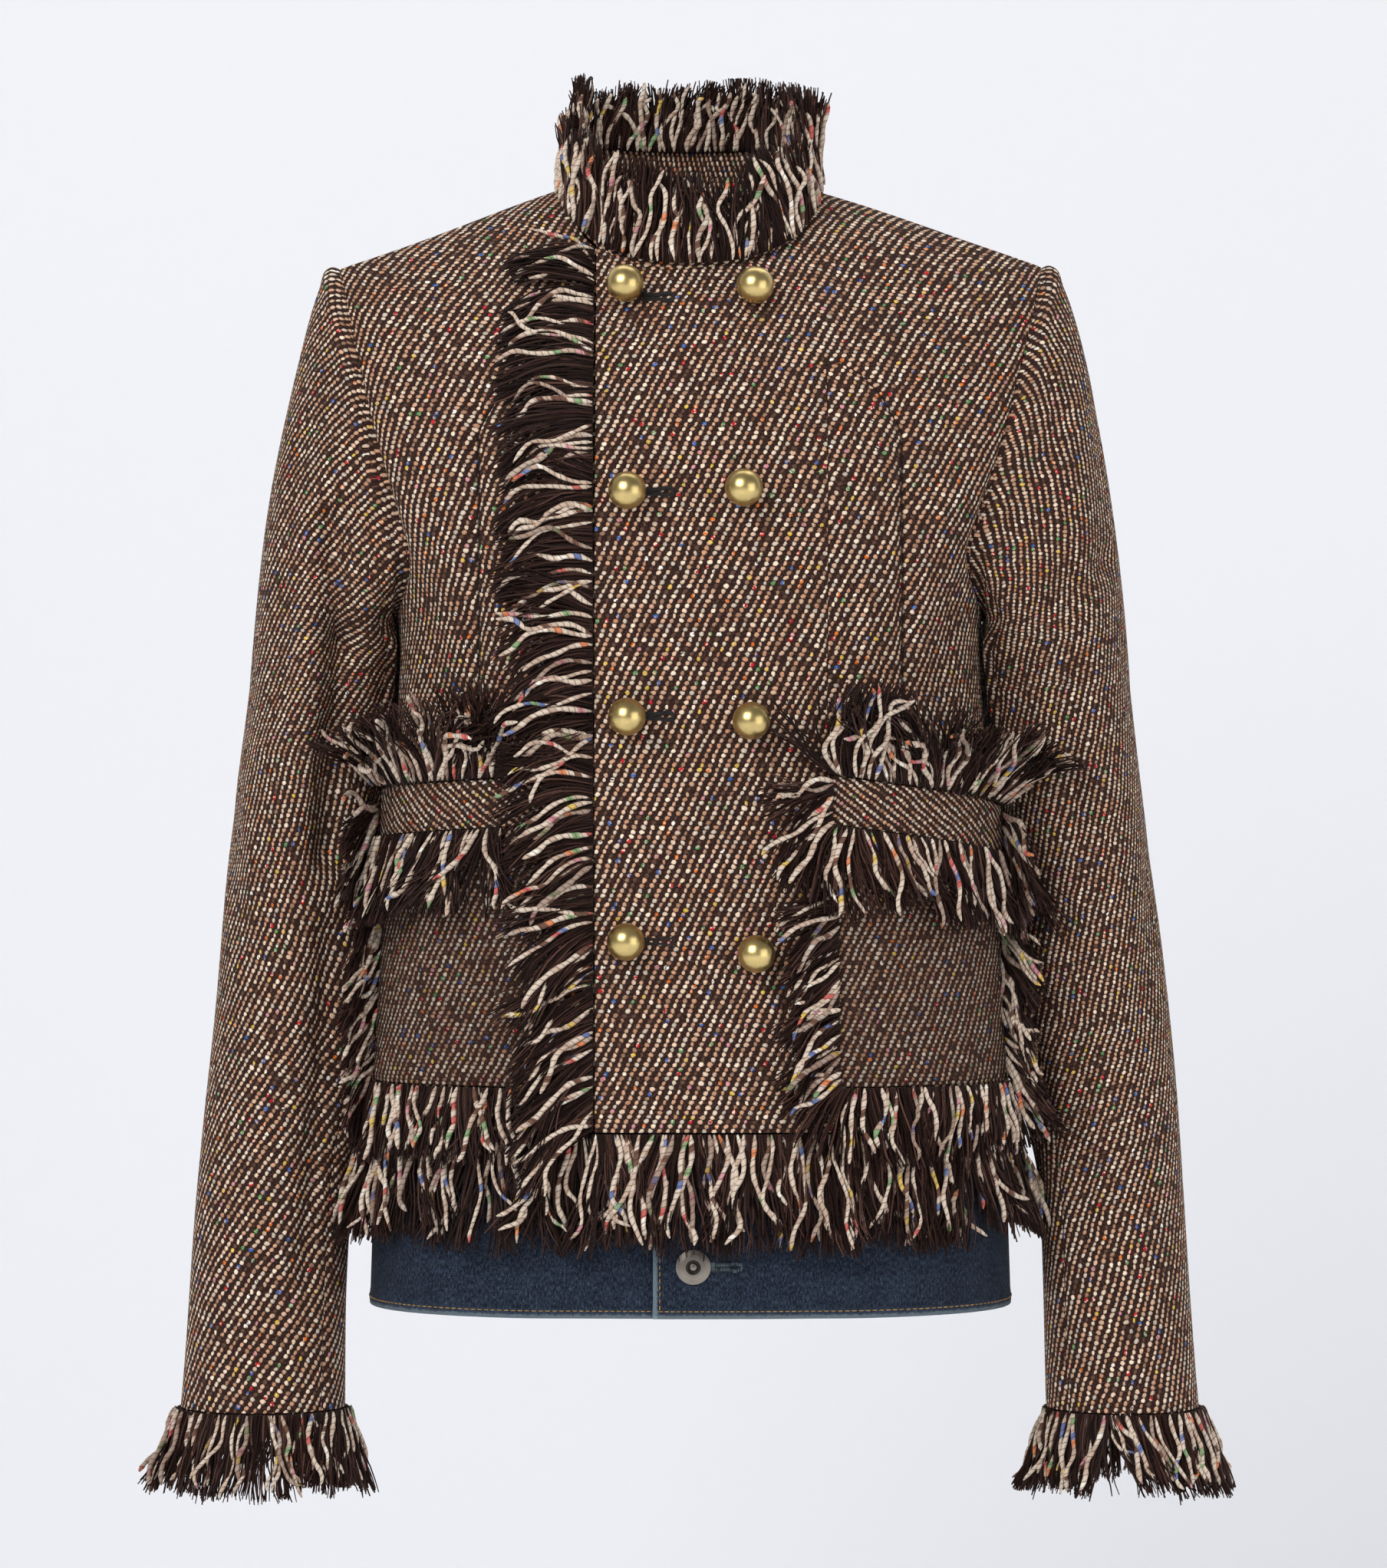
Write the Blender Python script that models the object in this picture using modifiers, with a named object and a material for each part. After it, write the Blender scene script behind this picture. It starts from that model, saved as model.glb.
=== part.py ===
"""Cropped double-breasted tweed jacket with fringed trims, hollow as worn.

Metres, +Z up, the wearer faces -Y and the wearer's left is +X. The origin is
the middle of the neck opening, level with the neck ends of the shoulders.
"""

import math
from collections import namedtuple

import bmesh
import bpy
from mathutils import Vector

# ---- cloth ----
TWEED = 0.0025
DENIM = 0.0016
GAP = 0.0003
LAY = 0.0006               # clearance of a piece that lies on a curved panel
TINY = 0.0005              # step for slopes along a surface

# ---- body ----
ROUNDNESS = 2.5            # exponent of the body's oval sections
SHOULDER_SLOPE = 0.3665
SHOULDER_SOFTEN = 0.04     # rounds the shoulder line over the neck
NECK_HALF = 0.064
SHOULDER_HALF = 0.183
SEAM_SLOPE = 0.97          # slope of the shoulder seams' faces, over the shoulder's
RIDGE_Y = 0.004            # the shoulder seams lie in this plane
FRONT_FALL = 0.160         # height over which the chest turns up to the ridge
BACK_FALL = 0.140
FRONT_FALL_POWER = 1.55
BACK_FALL_POWER = 1.80
NECK_SQUARE = 0.87         # under 1 squares the neckline's curve
NECK_FRONT_Z = -0.048
NECK_BACK_Z = 0.0
UNDERARM_Z = -0.226
NOTCH_Z = -0.185           # where the armhole starts to turn under
ARMHOLE_SPACING = 1.1      # over 1 sets a panel's rows closer near the shoulder
HEM_Z = -0.486

COLLECTION = "cropped tweed jacket"
Frame = namedtuple("Frame", "along out normal")
Ring = namedtuple("Ring", "z half_width front_depth back_depth")
BODY_RINGS = (
    Ring(0.020, 0.204, 0.112, 0.104),
    Ring(-0.041, 0.200, 0.118, 0.108),
    Ring(-0.100, 0.188, 0.124, 0.112),
    Ring(-0.160, 0.170, 0.128, 0.113),
    Ring(-0.185, 0.1626, 0.128, 0.113),
    Ring(-0.226, 0.1525, 0.127, 0.112),
    Ring(-0.270, 0.1530, 0.125, 0.110),
    Ring(-0.320, 0.1575, 0.124, 0.108),
    Ring(-0.430, 0.1630, 0.124, 0.108),
    Ring(-0.490, 0.1670, 0.126, 0.111),
    Ring(-0.600, 0.1710, 0.127, 0.114),
)
Armhole = namedtuple("Armhole", "z front_x back_x")
ARMHOLE = (
    Armhole(-0.041, 0.1830, 0.1830),
    Armhole(-0.070, 0.1765, 0.1785),
    Armhole(-0.100, 0.1690, 0.1725),
    Armhole(-0.132, 0.1610, 0.1650),
    Armhole(-0.160, 0.1535, 0.1575),
    Armhole(-0.185, 0.1480, 0.1515),
)

# ---- double-breasted lap ----
LAP_EDGE_X = -0.048        # edge of the upper front, on the wearer's right
UNDER_EDGE_X = 0.050       # edge of the under front
LAP_DROP = TWEED + 0.0015  # how much deeper the under front lies
LAP_FADE = (-0.092, -0.056)
LAP_FADE_Z = (-0.012, -0.034)

# ---- sleeves ----
Tube = namedtuple("Tube", "z outer inner middle_y half_depth")
SLEEVE_TUBE = (
    Tube(-0.262, 0.2300, 0.1580, 0.006, 0.060),
    Tube(-0.300, 0.2345, 0.1640, 0.006, 0.056),
    Tube(-0.345, 0.2400, 0.1695, 0.007, 0.052),
    Tube(-0.400, 0.2465, 0.1715, 0.006, 0.049),
    Tube(-0.460, 0.2520, 0.1735, 0.002, 0.046),
    Tube(-0.520, 0.2560, 0.1755, -0.003, 0.044),
    Tube(-0.580, 0.2605, 0.1780, -0.007, 0.043),
    Tube(-0.660, 0.2670, 0.1805, -0.010, 0.0425),
)
BICEP_Z = SLEEVE_TUBE[0].z
CUFF_Z = -0.634
SLEEVE_SWING = {1: 0.006, -1: 0.0}  # how far each sleeve's inner side hangs off
CAP_SHARE = 0.40           # share of a sleeve's rows that lie above the bicep
CAP_SPACING = 1.15         # over 1 sets the rows of the sleeve head closer
CAP_BULGE = (0.38, 0.11)   # roundness of the head, and how much less it is on top
CAP_ARRIVE = Vector((0.06, 0.0, -1.0))  # heading of the head where the tube begins
UNDER_SLEEVE = (0.39, 0.61)  # turn round the tube that the under sleeve takes
SLEEVE_SEAM = 0.0014       # the armhole seam's gap, on its curve
SEAM_TURN = 0.0008         # half a sleeve seam, in turns

FOLD_GIRTH = 0.30          # metres round a sleeve, for the width of a fold
FOLD_FADE = 0.022          # how far a fold runs out past its ends
Fold = namedtuple("Fold", "side turn_top z_top turn_low z_low depth width")
SLEEVE_FOLDS = (
    Fold(-1, 0.245, -0.175, 0.300, -0.235, 0.007, 0.011),
    Fold(-1, 0.300, -0.235, 0.325, -0.345, 0.010, 0.010),
    Fold(-1, 0.150, -0.130, 0.165, -0.260, 0.003, 0.012),
    Fold(1, 0.180, -0.120, 0.285, -0.180, 0.005, 0.010),
    Fold(1, 0.225, -0.200, 0.270, -0.330, 0.005, 0.012),
    Fold(1, 0.800, -0.150, 0.700, -0.240, 0.005, 0.012),
    Fold(-1, 0.780, -0.160, 0.700, -0.260, 0.005, 0.012),
)

# ---- collar ----
STAND_HEIGHT = 0.024
STAND_LEAN = 0.0025
STAND_SEAT = 0.0013        # clearance of the stand over the neckline
STAND_UNDERLAP = 0.05      # the stand's under end, in radians past the lap edge
STAND_TUCK = (0.86, 0.95)  # share of its length where it passes behind the lap
COLLAR_FRINGE = 0.048

# ---- pockets and flaps, in turns of the body's section ----
POCKET_TURN = (32.6, 75.0)
POCKET_BOTTOM_Z = -0.4634
POCKET_TOP_Z = -0.327
FLAP_TURN = (31.0, 76.5)
FLAP_TOP_Z = -0.307
FLAP_HEIGHT = 0.024
FLAP_TILT = {1: 0.016, -1: 0.007}   # drop of the outer end of each flap

# ---- fringes ----
STRIP = 0.004
STRIP_WALL = 0.0020
Fringe = namedtuple("Fringe", "locks length flare droop")
COLLAR_LOCKS = Fringe(32, COLLAR_FRINGE - STRIP, 0.05, 0.0)
EDGE_LOCKS = Fringe(28, 0.042, 0.16, 0.20)
HEM_LOCKS = Fringe(58, 0.058, 0.14, 0.0)
CUFF_LOCKS = Fringe(17, 0.043, 0.33, 0.0)
FLAP_TOP_LOCKS = {1: Fringe(9, 0.040, 0.32, 0.0), -1: Fringe(6, 0.040, 0.32, 0.0)}
LOCK_RINGS = ((0.5, 0.76, 1.05), (1.0, 0.42, 0.55))  # share of length, width, thickness
LOCK_SWAY = 0.045          # how unevenly the locks head
LOCK_SHIFT = 0.010
COLLAR_FRINGE_END = 0.93   # share of the stand's length that shows its fringe
PATCH_SCALE = 0.113 / 42.4  # metres per degree over the pockets
LAP_HIDDEN_TURN = 9.0      # part of a flap that the lap's fringe hides, in degrees
POCKET_LIFT = LAY + TWEED  # outer face of a pocket off the body
FLAP_LIFT = 2.0 * (LAY + TWEED)
# heights: inner and outer side; counts: locks on the inner side, bottom, outer side
Trim = namedtuple("Trim", "turns z_low heights counts length flare droop outer_lean"
                          " lift tilt tilt_from")
POCKET_TRIM = {
    1: Trim(POCKET_TURN, POCKET_BOTTOM_Z, (0.098, 0.064), (7, 8, 5), 0.035, 0.18, 0.15,
            (0.9, -1.1, -1.3), POCKET_LIFT, 0.0, POCKET_TURN[0]),
    -1: Trim(POCKET_TURN, POCKET_BOTTOM_Z, (0.098, 0.064), (0, 8, 5), 0.035, 0.18, 0.15,
             (0.9, -1.1, -1.3), POCKET_LIFT, 0.0, POCKET_TURN[0]),
}
FLAP_TRIM = {
    1: Trim(FLAP_TURN, FLAP_TOP_Z - FLAP_HEIGHT, (0.022, 0.022), (2, 8, 2), 0.040, 0.22, 0.10,
            (0.9, -1.5, -0.4), FLAP_LIFT, FLAP_TILT[1], FLAP_TURN[0]),
    -1: Trim((FLAP_TURN[0] + LAP_HIDDEN_TURN, FLAP_TURN[1]), FLAP_TOP_Z - FLAP_HEIGHT,
             (0.022, 0.022), (0, 7, 2), 0.040, 0.22, 0.10,
             (0.9, -1.5, -0.4), FLAP_LIFT, FLAP_TILT[-1], FLAP_TURN[0]),
}

# ---- hardware ----
BALL_RADIUS = 0.0095
SHANK_RADIUS = 0.0028
SHANK_LENGTH = 0.0018
BALL_ROWS = 7
BALL_STEPS = 14
Row = namedtuple("Row", "z hole_x show_x show_z")
BUTTON_ROWS = (
    Row(-0.0640, -0.0315, 0.0312, -0.0650),
    Row(-0.1645, -0.0308, 0.0262, -0.1632),
    Row(-0.2770, -0.0308, 0.0297, -0.2790),
    Row(-0.3900, -0.0315, 0.0322, -0.3960),
)

# ---- denim inner hem band ----
BAND_TOP_Z = -0.468
BAND_BOTTOM_Z = -0.580
BAND_LAP_X = -0.019
BAND_UNDER_X = 0.006
BAND_EASE = 0.0004         # extra room inside the curved corners of the body
BAND_FADE = (0.056, 0.092)
BAND_TUCK = (0.90, 0.95)   # share of its length where it passes behind its lap edge
DENIM_BUTTON_X = 0.0015
DENIM_BUTTON_Z = -0.5538
DENIM_BUTTON_RADIUS = 0.0088


# ---- small helpers ----
def clamp(value, low=0.0, high=1.0):
    return max(low, min(high, value))


def smoothstep(edges, value):
    share = clamp((value - edges[0]) / (edges[1] - edges[0]))
    return share * share * (3.0 - 2.0 * share)


def noise(index, channel):
    """A repeatable number from -1 to 1."""
    value = math.sin(index * 12.9898 + channel * 78.233) * 43758.5453
    return 2.0 * (value - math.floor(value)) - 1.0


def smooth_row(table, z):
    """The table's row at height z, read off a smooth curve through its rows."""
    last = len(table) - 1
    high = next((i for i in range(last) if table[i + 1].z <= z), last - 1)
    p0, p1 = table[max(high - 1, 0)], table[high]
    p2, p3 = table[high + 1], table[min(high + 2, last)]
    span = p2.z - p1.z
    t = clamp((z - p1.z) / span)
    values = [z]
    for a, b, c, d in zip(p0[1:], p1[1:], p2[1:], p3[1:]):
        slope_in = (c - a) / (p2.z - p0.z) * span
        slope_out = (d - b) / (p3.z - p1.z) * span
        values.append((2 * t**3 - 3 * t**2 + 1) * b + (t**3 - 2 * t**2 + t) * slope_in
                      + (3 * t**2 - 2 * t**3) * c + (t**3 - t**2) * slope_out)
    return type(p1)(*values)


def slope_normal(surface, a, b, step_a, step_b):
    """Unit normal of surface(a, b) from its slopes."""
    along = surface(a + step_a, b) - surface(a - step_a, b)
    across = surface(a, b + step_b) - surface(a, b - step_b)
    return along.cross(across).normalized()


# ---- body surface ----
def shoulder_height(x):
    reach = math.hypot(x, SHOULDER_SOFTEN) - math.hypot(NECK_HALF, SHOULDER_SOFTEN)
    return -SHOULDER_SLOPE * reach


def rounding(drop, power):
    """0 on the shoulder ridge, 1 where the chest or back is at full depth."""
    return (1.0 - (1.0 - clamp(drop)) ** power) ** (1.0 / power)


def turn_at_x(x, z, front=True):
    """Angle round the body, from the centre front, of the point at x."""
    ring = smooth_row(BODY_RINGS, z)
    depth = ring.front_depth if front else ring.back_depth
    share = clamp(abs(x) / ring.half_width, 0.0, 0.9999)
    y = depth * (1.0 - share**ROUNDNESS) ** (1.0 / ROUNDNESS)
    turn = math.atan2(abs(x), y if front else -y)
    return math.copysign(turn, x)


def body_skin(turn, z):
    """Point of the body's outer face, turn radians from the centre front."""
    ring = smooth_row(BODY_RINGS, z)
    side, ahead = math.sin(turn), math.cos(turn)
    front = ahead >= 0.0
    depth = ring.front_depth if front else ring.back_depth
    radius = (abs(side / ring.half_width) ** ROUNDNESS
              + abs(ahead / depth) ** ROUNDNESS) ** (-1.0 / ROUNDNESS)
    x = radius * side
    fall = FRONT_FALL if front else BACK_FALL
    power = FRONT_FALL_POWER if front else BACK_FALL_POWER
    share = rounding((shoulder_height(x) - z) / fall, power)
    return Vector((x, RIDGE_Y - radius * ahead * share, z))


def body_normal(turn, z):
    normal = slope_normal(body_skin, turn, z, 0.01, TINY)
    outward = Vector((math.sin(turn), -math.cos(turn), 0.0))
    return normal if normal.dot(outward) > 0.0 else -normal


def body_point(turn, z, lift=0.0):
    return body_skin(turn, z) + body_normal(turn, z) * lift


def lap_drop(x, z):
    """How far the under front is pushed in, beneath the upper front."""
    return LAP_DROP * smoothstep(LAP_FADE, x) * smoothstep(LAP_FADE_Z, z)


# ---- edges of the panels, as (turn, z) ----
def neckline(share, front=True):
    """From the centre (0) to the neck end of the shoulder (1), at +X."""
    angle = 0.5 * math.pi * clamp(share)
    x = NECK_HALF * math.sin(angle) ** NECK_SQUARE
    low = NECK_FRONT_Z if front else NECK_BACK_Z
    z = low * max(math.cos(angle), 0.0) ** NECK_SQUARE
    return turn_at_x(x, z, front), z


def shoulder_edge(share, front=True):
    x = NECK_HALF + (SHOULDER_HALF - NECK_HALF) * share
    z = shoulder_height(x)
    return turn_at_x(x, z, front), z


def armhole_edge(share, front=True):
    """From the shoulder tip (0) down to the underarm (1), at +X."""
    z_tip = shoulder_height(SHOULDER_HALF)
    z = z_tip + (UNDERARM_Z - z_tip) * (1.0 - math.cos(math.pi * share)) * 0.5
    if share >= 1.0:
        return 0.5 * math.pi, UNDERARM_Z
    if z > NOTCH_Z:
        row = smooth_row(ARMHOLE, z)
        x = row.front_x if front else row.back_x
        return turn_at_x(x, z, front), z
    row = ARMHOLE[-1]
    ring = smooth_row(BODY_RINGS, NOTCH_Z)
    depth = ring.front_depth if front else ring.back_depth
    notch_x = (row.front_x if front else row.back_x) / ring.half_width
    notch_y = (1.0 - notch_x**ROUNDNESS) ** (1.0 / ROUNDNESS)
    below = (NOTCH_Z - z) / (NOTCH_Z - UNDERARM_Z)
    y = notch_y * math.sqrt(max(1.0 - below * below, 0.0))
    ring = smooth_row(BODY_RINGS, z)
    x = ring.half_width * (1.0 - y**ROUNDNESS) ** (1.0 / ROUNDNESS)
    return turn_at_x(x, z, front), z


def armhole_loop(turn):
    """Armhole at +X as (turn, z): 0 tip, 0.25 front, 0.5 underarm, 0.75 back."""
    turn = turn % 1.0
    if turn <= 0.5:
        return armhole_edge(turn * 2.0, True)
    return armhole_edge((1.0 - turn) * 2.0, False)


def side_label(side):
    """The wearer's left is +X."""
    return "left" if side > 0 else "right"


# ---- sheets ----
def material(name, colour, roughness, metallic=0.0):
    made = bpy.data.materials.get(name) or bpy.data.materials.new(name)
    made.use_nodes = True
    shader = made.node_tree.nodes["Principled BSDF"]
    shader.inputs["Base Color"].default_value = (*colour, 1.0)
    shader.inputs["Roughness"].default_value = roughness
    shader.inputs["Metallic"].default_value = metallic
    return made


def tweed():
    return material("tweed", (0.10, 0.072, 0.060), 0.9)


def yarn():
    return material("fringe yarn", (0.055, 0.035, 0.030), 0.9)


def denim():
    return material("denim", (0.025, 0.045, 0.085), 0.85)


def brass():
    return material("satin brass", (0.62, 0.46, 0.20), 0.3, 1.0)


def pewter():
    return material("pewter", (0.33, 0.31, 0.29), 0.4, 1.0)


def add_object(name, bm, look):
    mesh = bpy.data.meshes.new(name)
    bm.to_mesh(mesh)
    bm.free()
    mesh.materials.append(look)
    made = bpy.data.objects.new(name, mesh)
    bpy.data.collections[COLLECTION].objects.link(made)
    return made


def thicken(bm, wall, inward):
    """Give the open grid a wall, inward from its face."""
    toward = bm.verts.layers.float_vector.new("toward")
    for vert in bm.verts:
        vert[toward] = inward[vert.index]
    copied = bmesh.ops.extrude_face_region(bm, geom=bm.faces[:])["geom"]
    for item in copied:
        if isinstance(item, bmesh.types.BMVert):
            item.co += item[toward] * wall
    bmesh.ops.recalc_face_normals(bm, faces=bm.faces)


def sheet(name, place, cols, rows, wall, look, edge_normal=None, core=None):
    """Wall of cloth whose outer face is place(u, v), for u and v from 0 to 1.

    core(z) is the middle of what the sheet wraps; it tells outside from inside.
    """
    core = core or (lambda z: Vector((0.0, RIDGE_Y, z)))
    bm = bmesh.new()
    bmesh.ops.create_grid(bm, x_segments=cols, y_segments=rows, size=0.5)
    spots = [(round((vert.co.x + 0.5) * cols) / cols, round((vert.co.y + 0.5) * rows) / rows)
             for vert in bm.verts]
    for vert, (u, v) in zip(bm.verts, spots):
        vert.co = place(u, v)
    bm.normal_update()
    facing = sum((face.calc_center_median() - core(face.calc_center_median().z)).dot(face.normal)
                 for face in bm.faces)
    outward = math.copysign(1.0, facing)
    inward = []
    for vert, (u, v) in zip(bm.verts, spots):
        chosen = edge_normal(u, v) if edge_normal else None
        inward.append(-chosen if chosen else -outward * vert.normal)
    toward = {vert.index: step for vert, step in zip(bm.verts, inward)}
    thicken(bm, wall, toward)
    return add_object(name, bm, look)


# ---- body panels ----
def blend_edges(top, bottom, near, far, u, v):
    """Coons patch over (turn, z)."""
    values = []
    for i in range(2):
        ruled = ((1 - v) * top(u)[i] + v * bottom(u)[i]
                 + (1 - u) * near(v)[i] + u * far(v)[i])
        corners = ((1 - u) * (1 - v) * top(0)[i] + u * (1 - v) * top(1)[i]
                   + (1 - u) * v * bottom(0)[i] + u * v * bottom(1)[i])
        values.append(ruled - corners)
    return values


def row_height(v, top_z, arm_share):
    """Height down a straight edge, level with the far edge's rows."""
    if v < arm_share:
        return top_z + (UNDERARM_Z - top_z) * v / arm_share
    return UNDERARM_Z + (HEM_Z - UNDERARM_Z) * (v - arm_share) / (1.0 - arm_share)


def side_edge(v, arm_share, front):
    if v < arm_share:
        return armhole_edge((v / arm_share) ** ARMHOLE_SPACING, front)
    return 0.5 * math.pi, row_height(v, UNDERARM_Z, arm_share)


def front_panel(name, mirror, lap_x, neck_share, cols, rows, arm_rows, inset):
    """A front: its far edge is the side seam at mirror * X, its near edge laps."""
    arm_share = arm_rows / rows
    lap = lap_x * mirror
    neck_start = neck_share_at_x(lap)
    lap_top = neckline_signed(neck_start)[1]

    def top(u):
        if u < neck_share:
            return neckline_signed(neck_start + (1.0 - neck_start) * u / neck_share)
        return shoulder_edge((u - neck_share) / (1.0 - neck_share))

    def near(v):
        z = row_height(v, lap_top, arm_share)
        return turn_at_x(lap, z), z

    def far(v):
        return side_edge(v, arm_share, True)

    def bottom(u):
        first = turn_at_x(lap, HEM_Z)
        return first + (0.5 * math.pi - first) * u, HEM_Z

    def place(u, v):
        turn, z = blend_edges(top, bottom, near, far, u, v)
        point = body_skin(turn, z)
        if inset:
            point += body_normal(turn, z) * -lap_drop(point.x * mirror, z)
        if v == 0.0 and u >= neck_share:
            point.y = RIDGE_Y - GAP * 0.5
        if u == 1.0 and v >= arm_share:
            point.y -= GAP * 0.5
        point.x *= mirror
        return point

    def edge_normal(u, v):
        return seam_normal(top, far, u, v, neck_share, arm_share, mirror)

    sheet(name, place, cols, rows, TWEED, tweed(), edge_normal)


def neck_share_at_x(x):
    """Signed share along the front neckline of the point above x."""
    share = 2.0 / math.pi * math.asin((abs(x) / NECK_HALF) ** (1.0 / NECK_SQUARE))
    return math.copysign(share, x)


def neckline_signed(share):
    """(turn, z) on the front neckline, share from -1 to 1 about the centre."""
    turn, z = neckline(abs(share))
    return math.copysign(turn, share), z


def seam_normal(top, far, u, v, neck_share, arm_share, mirror):
    """Shared face directions where two panels meet, or None."""
    if v == 0.0 and u >= neck_share:
        slope = SHOULDER_SLOPE * SEAM_SLOPE
        return Vector((slope * mirror, 0.0, 1.0)).normalized()
    if u == 1.0 and v > 0.0:
        turn, z = far(v)
        normal = body_normal(turn, z)
        normal.x *= mirror
        return normal
    return None


def back_panel(cols, rows, arm_rows, shoulder_cols):
    arm_share = arm_rows / rows

    def half(u):
        """Share from the centre back (0) to the side (1), and which side."""
        from_middle = round(2.0 * u * cols - cols)
        return abs(from_middle) / cols, math.copysign(1.0, from_middle)

    split = (cols - 2 * shoulder_cols) / cols

    def top(u):
        if u < split:
            return neckline(u / split, False)
        return shoulder_edge((u - split) / (1.0 - split), False)

    def near(v):
        return math.pi, row_height(v, NECK_BACK_Z, arm_share)

    def far(v):
        return side_edge(v, arm_share, False)

    def bottom(u):
        return math.pi - 0.5 * math.pi * u, HEM_Z

    def place(u, v):
        out, side = half(u)
        turn, z = blend_edges(top, bottom, near, far, out, v)
        point = body_skin(turn, z)
        if v == 0.0 and out >= split:
            point.y = RIDGE_Y + GAP * 0.5
        if out == 1.0 and v >= arm_share:
            point.y += GAP * 0.5
        point.x *= side
        return point

    def edge_normal(u, v):
        out, side = half(u)
        return seam_normal(top, far, out, v, split, arm_share, side)

    sheet("back", place, cols, rows, TWEED, tweed(), edge_normal)


# ---- sleeves ----
def tube_point(side, turn, z):
    """Sleeve tube at +X below the bicep; turn 0 is its outer side, 0.25 its front."""
    row = smooth_row(SLEEVE_TUBE, z)
    inner = row.inner + SLEEVE_SWING[side] * smoothstep((-0.30, -0.50), z)
    middle = 0.5 * (row.outer + inner)
    angle = 2.0 * math.pi * turn
    x = middle + 0.5 * (row.outer - inner) * math.cos(angle)
    return Vector((x, row.middle_y - row.half_depth * math.sin(angle), z))


def cap_point(side, turn, share):
    """Sleeve head at +X, from the armhole (0) to the bicep (1)."""
    angle = 2.0 * math.pi * turn
    body_turn, body_z = armhole_loop(turn)
    start = body_skin(body_turn, body_z)
    start += armhole_outward(turn) * SLEEVE_SEAM
    end = tube_point(side, turn, BICEP_Z)
    reach = (end - start).length
    leave = Vector((0.70, -0.25 * math.sin(angle), 0.5 * math.cos(angle) - 0.15))
    leave = leave.normalized() * reach * (CAP_BULGE[0] - CAP_BULGE[1] * math.cos(angle))
    arrive = CAP_ARRIVE * reach
    t = share
    return ((2 * t**3 - 3 * t**2 + 1) * start + (t**3 - 2 * t**2 + t) * leave
            + (3 * t**2 - 2 * t**3) * end + (t**3 - t**2) * arrive)


def armhole_outward(turn):
    """Unit direction from the body panel's armhole edge into the armhole."""
    step = 0.004
    ahead = body_skin(*armhole_loop(turn + step))
    behind = body_skin(*armhole_loop(turn - step))
    if turn % 1.0 < step or turn % 1.0 > 1.0 - step:
        normal = Vector((SHOULDER_SLOPE, 0.0, 1.0)).normalized()
        along = Vector((0.0, -1.0, 0.0))
    else:
        normal = body_normal(*armhole_loop(turn))
        along = (ahead - behind).normalized()
    across = normal.cross(along).normalized()
    middle = Vector((0.170, RIDGE_Y, -0.14))
    here = body_skin(*armhole_loop(turn))
    return across if across.dot(middle - here) > 0.0 else -across


def fold_depth(side, turn, z):
    """How far the sleeve's folds push its face in."""
    total = 0.0
    for fold in SLEEVE_FOLDS:
        if fold.side != side:
            continue
        length = fold.z_top - fold.z_low
        share = clamp((fold.z_top - z) / length)
        middle = fold.turn_top + (fold.turn_low - fold.turn_top) * share
        aside = (turn - middle) * FOLD_GIRTH
        past = max(z - fold.z_top, fold.z_low - z, 0.0)
        total += fold.depth * math.exp(-(aside / fold.width) ** 2 - (past / FOLD_FADE) ** 2)
    return total


def sleeve_core(side, z):
    """Middle of the sleeve's tube at height z, at +X."""
    level = min(z, BICEP_Z)
    core = 0.5 * (tube_point(side, 0.0, level) + tube_point(side, 0.5, level))
    core.z = z
    return core


def sleeve_point(side, turn, share):
    """Outer face of a sleeve, from the armhole (0) to the cuff (1)."""
    if share < CAP_SHARE:
        part = share / CAP_SHARE
        point = cap_point(side, turn, part ** CAP_SPACING)
    else:
        part = (share - CAP_SHARE) / (1.0 - CAP_SHARE)
        point = tube_point(side, turn, BICEP_Z + (CUFF_Z - BICEP_Z) * part)
    toward = sleeve_core(side, point.z) - point
    toward.z = 0.0
    toward.normalize()
    edge = smoothstep((0.0, 0.06), share)
    point += toward * fold_depth(side, turn, point.z) * edge
    return Vector((point.x * side, point.y, point.z))


def sleeve(side, cols_top, cols_under, rows):
    first, last = UNDER_SLEEVE
    spans = (
        ("sleeve_upper_", last - 1.0 + SEAM_TURN, first - SEAM_TURN, cols_top),
        ("sleeve_under_", first + SEAM_TURN, last - SEAM_TURN, cols_under),
    )
    for prefix, start, end, cols in spans:
        def place(u, v, start=start, end=end):
            return sleeve_point(side, start + (end - start) * u, v)

        def edge_normal(u, v, start=start, end=end):
            if u not in (0.0, 1.0):
                return None
            turn = start + (end - start) * u
            share = clamp(v, 0.01, 0.99)
            normal = slope_normal(lambda a, b: sleeve_point(side, a, b),
                                  turn, share, 0.01, 0.01)
            point = sleeve_point(side, turn, share)
            core = sleeve_core(side, point.z)
            away = Vector((point.x - core.x * side, point.y - core.y, 0.0))
            return normal if normal.dot(away) > 0.0 else -normal

        sheet(prefix + side_label(side), place, cols, rows, TWEED, tweed(), edge_normal,
              lambda z: sleeve_core(side, z) * Vector((side, 1.0, 1.0)))


# ---- collar stand ----
def collar_turn(share):
    """Round the neck from the lap edge (0), by the wearer's left, to the under end (1)."""
    lap = neckline_signed(neck_share_at_x(LAP_EDGE_X))[0]
    return lap + (2.0 * math.pi + STAND_UNDERLAP) * share


def collar_skin(share, height):
    """Outer face of the stand; the under end passes behind the lap."""
    turn = collar_turn(share)
    wrapped = (turn + math.pi) % (2.0 * math.pi) - math.pi
    base = neck_point(wrapped)
    lean = STAND_LEAN * height / STAND_HEIGHT
    tuck = LAP_DROP * smoothstep(STAND_TUCK, share)
    outward = Vector((math.sin(wrapped), -math.cos(wrapped), 0.0))
    return base + Vector((0.0, 0.0, STAND_SEAT + height)) - outward * (lean + tuck)


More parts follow.
